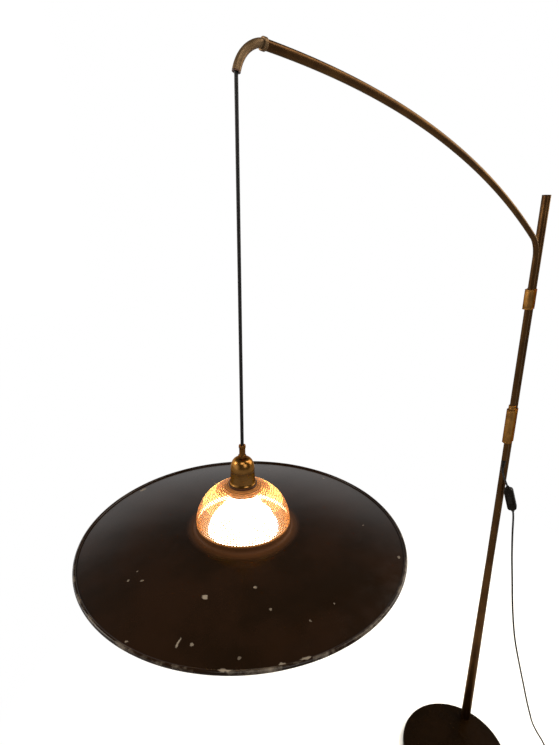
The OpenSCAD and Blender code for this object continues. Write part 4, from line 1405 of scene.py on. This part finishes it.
        def at(u: Array, v: Array, deep: bool) -> Array:
            """Places points of the outer or inner face.

            Args:
                u: Columns.
                v: Rows.
                deep: Whether they are on the inner face.

            Returns:
                The points, shape (..., 3).
            """
            r = np.interp(v, steps, inner_r if deep else radius)
            h = np.interp(v, steps, inner_h if deep else height)
            a = 2 * np.pi * (u % n) / n
            return np.stack([self.x + r * np.cos(a), self.y + r * np.sin(a), self.lip + h], -1)

        lattice_v, lattice_u = np.meshgrid(np.arange(2 * m + 1), np.arange(2 * n), indexing="ij")
        cell_v, cell_u = (k.ravel() for k in np.meshgrid(np.arange(m), np.arange(n), indexing="ij"))
        du, dv = np.array([1, 1, 0, -1, -1, -1, 0, 1]), np.array([0, 1, 1, 1, 0, -1, -1, -1])
        edge = (2 * cell_v[:, None] + 1 + dv) * 2 * n + (2 * cell_u[:, None] + 1 + du) % (2 * n)
        turn = np.arange(8) * np.pi / 4
        hole_u = cell_u[:, None] + 0.5 + self.hole * np.cos(turn)
        hole_v = cell_v[:, None] + 0.5 + self.hole * np.sin(turn)
        faces, points, holes, count = [], [], [], 0
        for deep in (False, True):
            plain = at(lattice_u.ravel() / 2, lattice_v.ravel() / 2, deep)
            pierced = at(hole_u.ravel(), hole_v.ravel(), deep)
            ring = count + len(plain) + np.arange(len(pierced)).reshape(-1, 8)
            out = count + edge
            quads = np.stack([out, np.roll(out, -1, 1), np.roll(ring, -1, 1), ring], -1).reshape(-1, 4)
            faces.append(quads[:, ::-1] if deep else quads)
            points += [plain, pierced]
            holes.append((ring, count))
            count += len(plain) + len(pierced)
        (front, first), (rear, second) = holes
        faces.append(np.stack([front, np.roll(front, -1, 1), np.roll(rear, -1, 1), rear], -1).reshape(-1, 4))
        line = np.arange(2 * n)
        for row in (0, 2 * m):
            a, b = first + row * 2 * n + line, second + row * 2 * n + line
            faces.append(np.stack([a, np.roll(a, -1), np.roll(b, -1), b], -1))
        # Painted light of the bulb: the lighter brass inside, and in the hole walls of the middle rows
        inside = np.repeat([0, 1, 0, 0, 0], [len(k) for k in faces])
        bright = (cell_v >= self.painted_light_rows[0]) & (cell_v < self.painted_light_rows[1])
        inside[2 * len(faces[0]):][:8 * n * m] = np.repeat(bright, 8)
        return new_object("perforated_dome", np.concatenate(points), np.concatenate(faces), None, inside, 50)

    def dome_bands(self) -> Piece:
        """Plain bands of the dome: seat above the holes, and below them a skirt with flange and inner lip.

        Returns:
            One piece: brass outside, white inside the skirt, and on the lip a dark brown that is painted
                shade.
        """
        s, b, rise, full = self.sheet, self.band, self.dome_rise, self.dome_r
        bore, foot = self.holder_r + PLAY, 80
        low, lip, edge, fall, inner = -12.5, -5.0, 55.6, -7.5, full - s
        r = full * math.sqrt(1 - (b / self.dome_tall) ** 2)
        seat = [[bore, rise], [self.seat_r, rise], [self.seat_r, rise - s], [bore, rise - s]]
        skirt = [[r, b], [full, 0], [full, low], [foot, low], [foot, low - s], [inner, low - s],
                 [inner, lip - s], [edge, lip + fall - s], [edge, lip + fall], [inner, lip],
                 [inner, 0], [r - s, b]]
        # The finish of the face that starts at each corner
        slots = [0, 0, 0, 0, 0, 1, 2, 2, 2, 1, 1, 0]
        upper = lathe("dome_seat", seat, self.at(self.lip), 0.2, segments=128, sharp=50)
        eased = turned(rounded(skirt, 0.1, 1), self.at(self.lip), segments=160)
        lower = grid_object("dome_skirt", eased, np.repeat(slots, 2), sharp=50)
        for part in (upper, lower):
            for finish in (MESH_BRASS, WHITE_ENAMEL, LIP_PAINTED_SHADE):
                part.data.materials.append(finish.material())
        return joined("dome_bands", [lower, upper])

    def shade(self) -> Piece:
        """Enamel shade: neck, fillet, shallow swelling cone and rolled rim, dark above and white below.

        The cone falls evenly from the fillet to the rim, plus a half sine of 3 mm; the sheet waves by a
        fraction of a millimetre, as pressed steel does.

        Returns:
            The shade with two materials.
        """
        neck, w, f, tall, r1, bead = 72.3, 1.0, 5.0, self.shade_h, 247.0, 3.0
        r0, z0, swell, dark_roll, segments = neck + w + f, 22.5, 3.0, 13, 288
        a = np.linspace(0, np.pi / 2, 9)
        t = np.linspace(0, 1, 61)[1:]
        reach = r0 + (r1 - 2.4 - r0) * t
        fall = (reach - r0) / (r1 - r0)
        cone = z0 * (1 - fall) + swell * np.sin(np.pi * fall)
        roll = np.radians(np.linspace(150, -160, 20))
        lip = [[neck, tall - 0.4], [neck + 0.3, tall], [neck + w - 0.3, tall], [neck + w, tall - 0.4]]
        fillet = np.stack([r0 - f * np.cos(a), z0 + f * (1 - np.sin(a))], 1)
        top = np.stack([reach, cone], 1)
        rim = np.stack([r1 + bead * np.cos(roll), bead * np.sin(roll)], 1)
        below = np.stack([reach[:-1], cone[:-1] - w], 1)[::-1]
        under = np.stack([r0 - (f + w) * np.cos(a), z0 + f - (f + w) * np.sin(a)], 1)[::-1]
        outline = np.vstack([lip, fillet, top, rim, below, under])
        points = turned(outline, self.at(self.rim), segments=segments)
        turn = np.linspace(0, 2 * np.pi, segments + 1)
        share = np.clip((np.append(outline[:, 0], outline[0, 0]) - r0) / (r1 - r0), 0, 1)[:, None]
        wave = 0.35 * np.sin(3 * turn + 0.6) + 0.25 * np.sin(7 * turn + 2.1) + 0.12 * np.sin(17 * turn)
        points[..., 2] += share * (1 - 0.6 * share) * wave
        dark = len(lip) + len(fillet) + len(top) + dark_roll
        return grid_object("enamel_shade", points, np.where(np.arange(len(outline)) < dark, 0, 1), sharp=50)

    def globe(self) -> Piece:
        """Globe: a sphere up to 40 degrees above its middle, then a shoulder that runs up into the neck.

        Returns:
            The piece.
        """
        r, neck, top, join = self.globe_r, 16.0, self.glass_top - self.globe_z, math.radians(40)
        a = np.linspace(-np.pi / 2, join, 48)
        t = np.linspace(0, 1, 18)[1:]
        join_r, join_z = r * math.cos(join), r * math.sin(join)
        ball = r * np.stack([np.cos(a), np.sin(a)], 1)
        rise = np.stack([join_r + (neck - join_r) * np.sin(np.pi / 2 * t),
                         join_z + (top - join_z) * (t + 0.35 * np.sin(np.pi * t) * t)], 1)
        outline = np.vstack([ball, rise, [[13, top], [0, top]]])
        outline[0, 0] = 0.0
        return lathe("opal_globe", outline, self.at(self.globe_z), closed=False, segments=112, sharp=60)

    def screw_cap(self) -> Piece:
        """Bulb's screw cap: the radius rises and falls once a pitch, and the wave climbs with the angle.

        Returns:
            The piece.
        """
        low, high, r, foot, deep = 3, 22, 12.35, 13, 0.6
        z = np.linspace(low, high, 96)
        outline = np.vstack([[[0, 0.1], [foot, 0.1], [foot, 2.6]], np.stack([np.full_like(z, r), z], 1),
                             [[9, 23.6], [5, 24], [5, 26.6], [3.5, 27], [0, 27]]])
        turn, h = np.linspace(0, 2 * np.pi, 73), outline[:, 1:]
        thread = ((h >= low) & (h <= high)) * deep * np.sin(2 * np.pi * h / self.thread_pitch - turn)
        points = turned(outline, self.at(self.glass_top), segments=72, closed=False, ripple=thread)
        return grid_object("bulb_screw_cap", points, sharp=60)

    def lead(self) -> Piece:
        """Short cord from the grip to the porcelain block."""
        z = np.linspace(self.glass_top + 38.3, self.grip_top - 3.8, 8)
        return rod("holder_cord", np.stack([np.full(8, self.x), np.full(8, self.y), z], 1), 16)

    def build(self) -> None:
        """Builds and dresses the pendant."""
        drop = fit(self.drop_cord(), "drop", [CORD_PLASTIC], "cord", "drop_cord")
        fit(self.grip(), "pendant", [DARK_BRASS], "old_brass", "cord_grip")
        fit(self.bell(), "pendant", [CAP_BRASS], "old_brass", "socket_cap")
        fit(self.holder(), "pendant", [BROWN_MOULDED], "holder", "holder_body")
        fit(self.ring(), "pendant", [DULL_DARK_BRASS], "old_brass", "shade_ring")
        fit(self.perforated(), "pendant", [MESH_BRASS, MESH_PAINTED_LIGHT], "mesh", "dome")
        fit(self.dome_bands(), "pendant", [MESH_BRASS, WHITE_ENAMEL, LIP_PAINTED_SHADE], "mesh")
        fit(self.shade(), "pendant", [BROWN_ENAMEL, WHITE_ENAMEL], "enamel", "shade")
        fit(self.globe(), "pendant", [OPAL], "glass", "bulb_glass")
        fit(self.screw_cap(), "pendant", [STEEL], "steel", "bulb_cap")
        fit(self.lead(), "pendant", [CORD_PLASTIC], "cord", "holder_lead")
        dress(DARK_BRASS, "grip_screw", "grip_nut")
        dress(PORCELAIN, "contact_block")
        dress(CLAMP_BRASS, "screw_shell", "centre_contact")


@dataclass
class MainsLead:
    """Cord from the leg's end through its switch to the floor, its coil and tie, and the plug."""

    exit: Point = (LEG[0], LEG[1], 949.0)
    switch: Point = (105.0, -3.0, 867.0)
    heading: float = -66.4
    lean: float = 18.0
    rocker_lean: float = -8.0
    rocker_out: float = 5.5
    coil: tuple[float, float] = (197.2, -206.7)
    coil_start: float = -5.0
    coil_in: float = 20.0
    coil_step: float = 5.6
    coil_turn: float = 2335.0
    coil_z: float = 3.7
    plug_run: float = 11.0
    plug_sleeve: float = 25.0
    plug_half_t: float = 9.1
    pin_half_gap: float = 9.3

    def route(self) -> Array:
        """Works out the cord's centreline: lead, switch, fall, and the coil in and out on two layers.

        The coil's radius is its innermost one plus a step for each turn away from its middle, and its height
        climbs a step over the half turn round the middle.

        Returns:
            Points, shape (n, 3).
        """
        lead = [self.exit, (105.8, 29.5, 940.5), (105.2, 27.3, 931.5), (104.1, 23.6, 924.4),
                (102.2, 17.4, 915.9), (100.9, 11.3, 907.1), (101.1, 5.9, 896.7), (102.6, 2.5, 885.6),
                self.switch]
        fall = [(107.4, -8.5, 848.4), (108.9, -11.9, 837), (111, -14.8, 822.9), (112.4, -17, 802.8),
                (114.7, -19.9, 762.4), (118.3, -23.7, 717), (122.3, -27.6, 674.5), (129.6, -35.7, 600.9),
                (135.2, -42.5, 539.5), (141.1, -50.7, 478.1), (148.1, -60.5, 417), (154.8, -69.9, 371),
                (164.6, -83.3, 313), (175.8, -99, 248), (186.1, -114.1, 186), (194.4, -126.5, 140),
                (201.7, -137.2, 104), (212.6, -152.1, 70), (221.6, -164.1, 47), (228, -173.5, 27.5),
                (232.5, -182.5, 14), (235.2, -192.5, 6.3), (235.7, -205, 3.7)]
        half = self.coil_turn / 2
        a = np.linspace(0, self.coil_turn, int(self.coil_turn / 360 * 48) + 1)
        u = np.clip((a - half + 90) / 180, 0, 1)
        r = self.coil_in + self.coil_step * np.abs(a - half) / 360
        turn = np.radians(self.coil_start - a)
        coil = np.stack([self.coil[0] + r * np.cos(turn), self.coil[1] + r * np.sin(turn),
                         self.coil_z + self.coil_step * u * u * (3 - 2 * u)], 1)
        away = np.array([math.sin(turn[-1]), -math.cos(turn[-1]), 0])
        run = coil[-1] + np.linspace(0, self.plug_run, 5)[1:, None] * away
        return np.vstack([smooth_route(np.array(lead + fall, float), 8), coil, run])

    def switch_place(self, local: Array) -> Array:
        """Places points of the switch, leaned and turned to the cord's fall.

        Args:
            local: Points across, through and along the switch, shape (..., 3).

        Returns:
            The points in space.
        """
        h, t = math.radians(self.heading), math.radians(-self.lean)
        lean = np.array([[math.cos(t), 0, math.sin(t)], [0, 1, 0], [-math.sin(t), 0, math.cos(t)]])
        turn = np.array([[math.cos(h), -math.sin(h), 0], [math.sin(h), math.cos(h), 0], [0, 0, 1]])
        return local @ (turn @ lean).T + np.array(self.switch)

    def loft(self, rows: Array, bow: float = 0.0) -> Array:
        """Rounded rectangles at different depths: rows of half width, half length, corner radius and depth.

        Args:
            rows: One row for each rectangle, shape (n, 4).
            bow: How far the ends stand out past the middle, as a square of the length.

        Returns:
            Points (width, depth, length), shape (n, columns, 3).
        """
        ring = rounded_box_ring(rows[:, 0], rows[:, 1], rows[:, 2])
        depth = rows[:, 3][:, None] - bow * (ring[..., 1] / rows[:, 1].max()) ** 2
        return np.stack([ring[..., 0], depth, ring[..., 1]], -1)

    def switch_shell(self, name: str, front: bool) -> Piece:
        """Half of the switch: eased edges, a step at the seam, and in front a recess for the rocker.

        Args:
            name: Name of the half.
            front: Whether it is the half with the rocker.

        Returns:
            The half.
        """
        rows = [[0, 0, 0, 0], [10.6, 30.1, 6.6, 0], [11.4, 30.9, 7.4, 0.02], [11.6, 31.1, 7.6, 0.35],
                [12, 31.5, 8, 0.7], [12, 31.5, 8, 6.4], [11.8, 31.3, 7.8, 7.6], [11.2, 30.7, 7.2, 8.8],
                [10.2, 29.7, 6.2, 9.6], [9, 28.5, 5, 9.95], [7.6, 14.4, 2.4, 10]]
        recess = [[7.2, 13.0, 1.6, 9.7], [6.75, 12.2, 1.0, 8.8], [6.7, 12.1, 0.9, 3.5], [0, 0, 0, 3.5]]
        plain = [[5, 10, 2, 10], [0, 0, 0, 10]]
        sides = np.array(rows + (recess if front else plain), float) * [1, 1, 1, -1.0 if front else 1.0]
        local = self.loft(sides)
        return grid_object(name, self.switch_place(local), sharp=40)

    def rocker(self) -> Piece:
        """Rocker with a dished face and three grip ribs at its ends, leaned on its pivot.

        Returns:
            The piece.
        """
        rows = [[0, 0, 0, 1.4], [5.8, 10.2, 0.8, 1.4], [6.2, 10.9, 1.0, 0.6], [6.2, 11, 1.0, -3.2],
                [6.1, 10.9, 1.0, -4.2], [5.6, 10.4, 1.0, -4.55], [5.0, 9.6, 0.8, -4.5], [4.6, 9.0, 0.8, -4.7],
                [4.2, 8.2, 0.8, -4.5], [3.8, 7.4, 0.8, -4.7], [3.4, 6.6, 0.8, -4.5], [0, 0, 0, -4.5]]
        grid = self.loft(np.array(rows, float), bow=1.3)
        a = math.radians(self.rocker_lean)
        y, z = grid[..., 1].copy(), grid[..., 2].copy()
        grid[..., 1] = y * math.cos(a) - z * math.sin(a) - self.rocker_out
        grid[..., 2] = y * math.sin(a) + z * math.cos(a)
        return grid_object("switch_rocker_cap", self.switch_place(grid), sharp=40)

    def cord_ends(self) -> Piece:
        """Tapered sleeves where the cord enters and leaves the switch.

        Returns:
            The piece.
        """
        bore, root, end = CORD_R + PLAY, 29, 37.5
        outline = rounded([[bore, root], [5.6, root], [5.6, 31.6], [5.0, 32.2], [5.0, 33.4], [4.7, 34],
                           [4.7, 35.2], [4.1, 35.8], [3.9, end], [bore, end]], 0.25)
        return joined("switch_cord_sleeves", [
            grid_object(f"sleeve_{i}", self.switch_place(turned(outline, (0, 0, 0), (0, 0, side), 40)))
            for i, side in enumerate((1.0, -1.0))])

    def plug_axis(self) -> tuple[Array, Array, Array]:
        """Finds the plug's start, its direction, which is the cord's at the end of the coil, and its side.

        Returns:
            The start and the two directions.
        """
        path = self.route()
        along = path[-1] - path[-2]
        along = along / np.linalg.norm(along)
        return path[-1], along, np.cross(along, UP)

    def plug_body(self) -> Piece:
        """Plug: rounded sections from a narrow shoulder to the front, with a finger hollow in each side.

        Returns:
            The piece.
        """
        start, along, side = self.plug_axis()
        full, corner = self.plug_half_t, 7.5
        # Distance, half width, and what the half thickness lacks
        d, w, lack = np.array([
            (0, 0, full), (0.4, 9.6, 2.5), (1.2, 10.4, 1.9), (4, 12.6, 1.0), (8, 14.6, 0.4), (12, 15.6, 0.1),
            (16, 15.4, 0), (20, 15.6, 0), (24, 16.4, 0), (28, 17.4, 0), (31.5, 18, 0), (33.8, 18, 0),
            (34.7, 17.4, 0.5), (35, 16.6, 1.2), (35, 0, full)]).T
        t = full - lack
        ring = rounded_box_ring(w, t, np.minimum(0.9 * np.minimum(w, t), corner))
        points = (start + (self.plug_sleeve + d)[:, None, None] * along + ring[..., :1] * side
                  + ring[..., 1:] * np.array(UP))
        return grid_object("plug_moulding", points, sharp=45)

    def plug_relief(self) -> Piece:
        """Tapered sleeve of the plug, cut by five flexing grooves.

        Returns:
            The piece.
        """
        start, along, _ = self.plug_axis()
        bore, end = 2.52, self.plug_sleeve + 1
        z = np.linspace(0, end, 66)
        taper = 3.7 + 2.8 * z / self.plug_sleeve
        cuts = (z > 4) & (z < 22) & (np.sin((z - 4) / 18 * 5 * 2 * np.pi) > 0.35)
        outline = np.vstack([[[bore, 0]], np.stack([taper - 0.7 * cuts, z], 1), [[bore, end]]])
        return lathe("plug_flex_sleeve", outline, start, axis=along, segments=48)

    def pins(self) -> Piece:
        """Two plain pins with round tips and a sleeved root.

        Returns:
            The piece.
        """
        start, along, side = self.plug_axis()
        outline = [[0, 23], [2, 23], [2, 45.2], [1.9, 45.5], [1.9, 52], [1.6, 53.2], [0.9, 53.9], [0, 54]]
        return joined("plug_round_pins", [
            lathe(f"pin_{i}", outline, start + s * self.pin_half_gap * side, 0.3, False, along, 32)
            for i, s in enumerate((1, -1))])

    def tie(self) -> Piece:
        """Strap round the coil's turns: two rounded rectangles, inner and outer, over the strap's width.

        Returns:
            The piece.
        """
        t, half, ease, room = 0.8, 6.0, 0.2, CORD_R + 1.4
        low, high = self.coil_in - room, self.coil_in + self.coil_step * self.coil_turn / 720 + room
        top = self.coil_z + self.coil_step + CORD_R + 0.4
        grow = np.array([0.0, 0.0, -ease, -t + ease, -t, -t, -t + ease, -ease, 0.0])
        flat = half - ease
        width = np.array([-flat, flat, half, half, flat, -flat, -half, -half, -flat])
        mid_r, mid_z = (low + high) / 2, (top + t) / 2
        ring = rounded_box_ring((high - low) / 2 + t + grow, (top + t) / 2 + grow, 3.0 + grow)
        # The strap crosses the coil on the side away from the lamp
        return grid_object("coil_strap", np.stack([
            self.coil[0] + np.broadcast_to(width[:, None], ring.shape[:2]),
            self.coil[1] - mid_r - ring[..., 0],
            mid_z + ring[..., 1]], -1), sharp=40)

    def build(self) -> None:
        """Builds and dresses the lead and all that is on it."""
        path = self.route()
        cord = rod("mains_lead_cord", path, 14, 60)
        fit(cord, None, [CORD_PLASTIC], "cord", "switch_lead", "mains_cord", "cord_coil")
        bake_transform(cord)
        shell = self.switch_shell
        pieces = [
            fit(shell("switch_front_half", True), "carriage", [BLACK_MOULDED], "plastic", "switch_front"),
            fit(shell("switch_back_half", False), "carriage", [BLACK_MOULDED], "plastic", "switch_back"),
            fit(self.cord_ends(), "carriage", [BLACK_MOULDED], "plastic"),
            fit(self.rocker(), "rocker", [ROCKER_PLASTIC], "plastic", "switch_rocker"),
            fit(self.plug_body(), "stand", [BLACK_MOULDED], "plastic", "plug_body"),
            fit(self.plug_relief(), "stand", [BLACK_MOULDED], "plastic", "plug_sleeve"),
            fit(self.pins(), "stand", [NICKEL], "pins", "plug_pins"),
            fit(self.tie(), "stand", [STRAP], "plastic", "coil_tie"),
        ]
        dress(STEEL, "switch_screws")
        dress(CLAMP_BRASS, "switch_contacts")


def main() -> None:
    """Builds the camera and the cord first, then the rest."""
    logging.basicConfig(level=logging.INFO, format="%(name)s %(message)s")
    for part in (Studio(), MainsLead(), Stand(), Carriage(), Arm(), Pendant()):
        log.info("building %s", type(part).__name__)
        part.build()


if __name__ == "__main__":
    main()
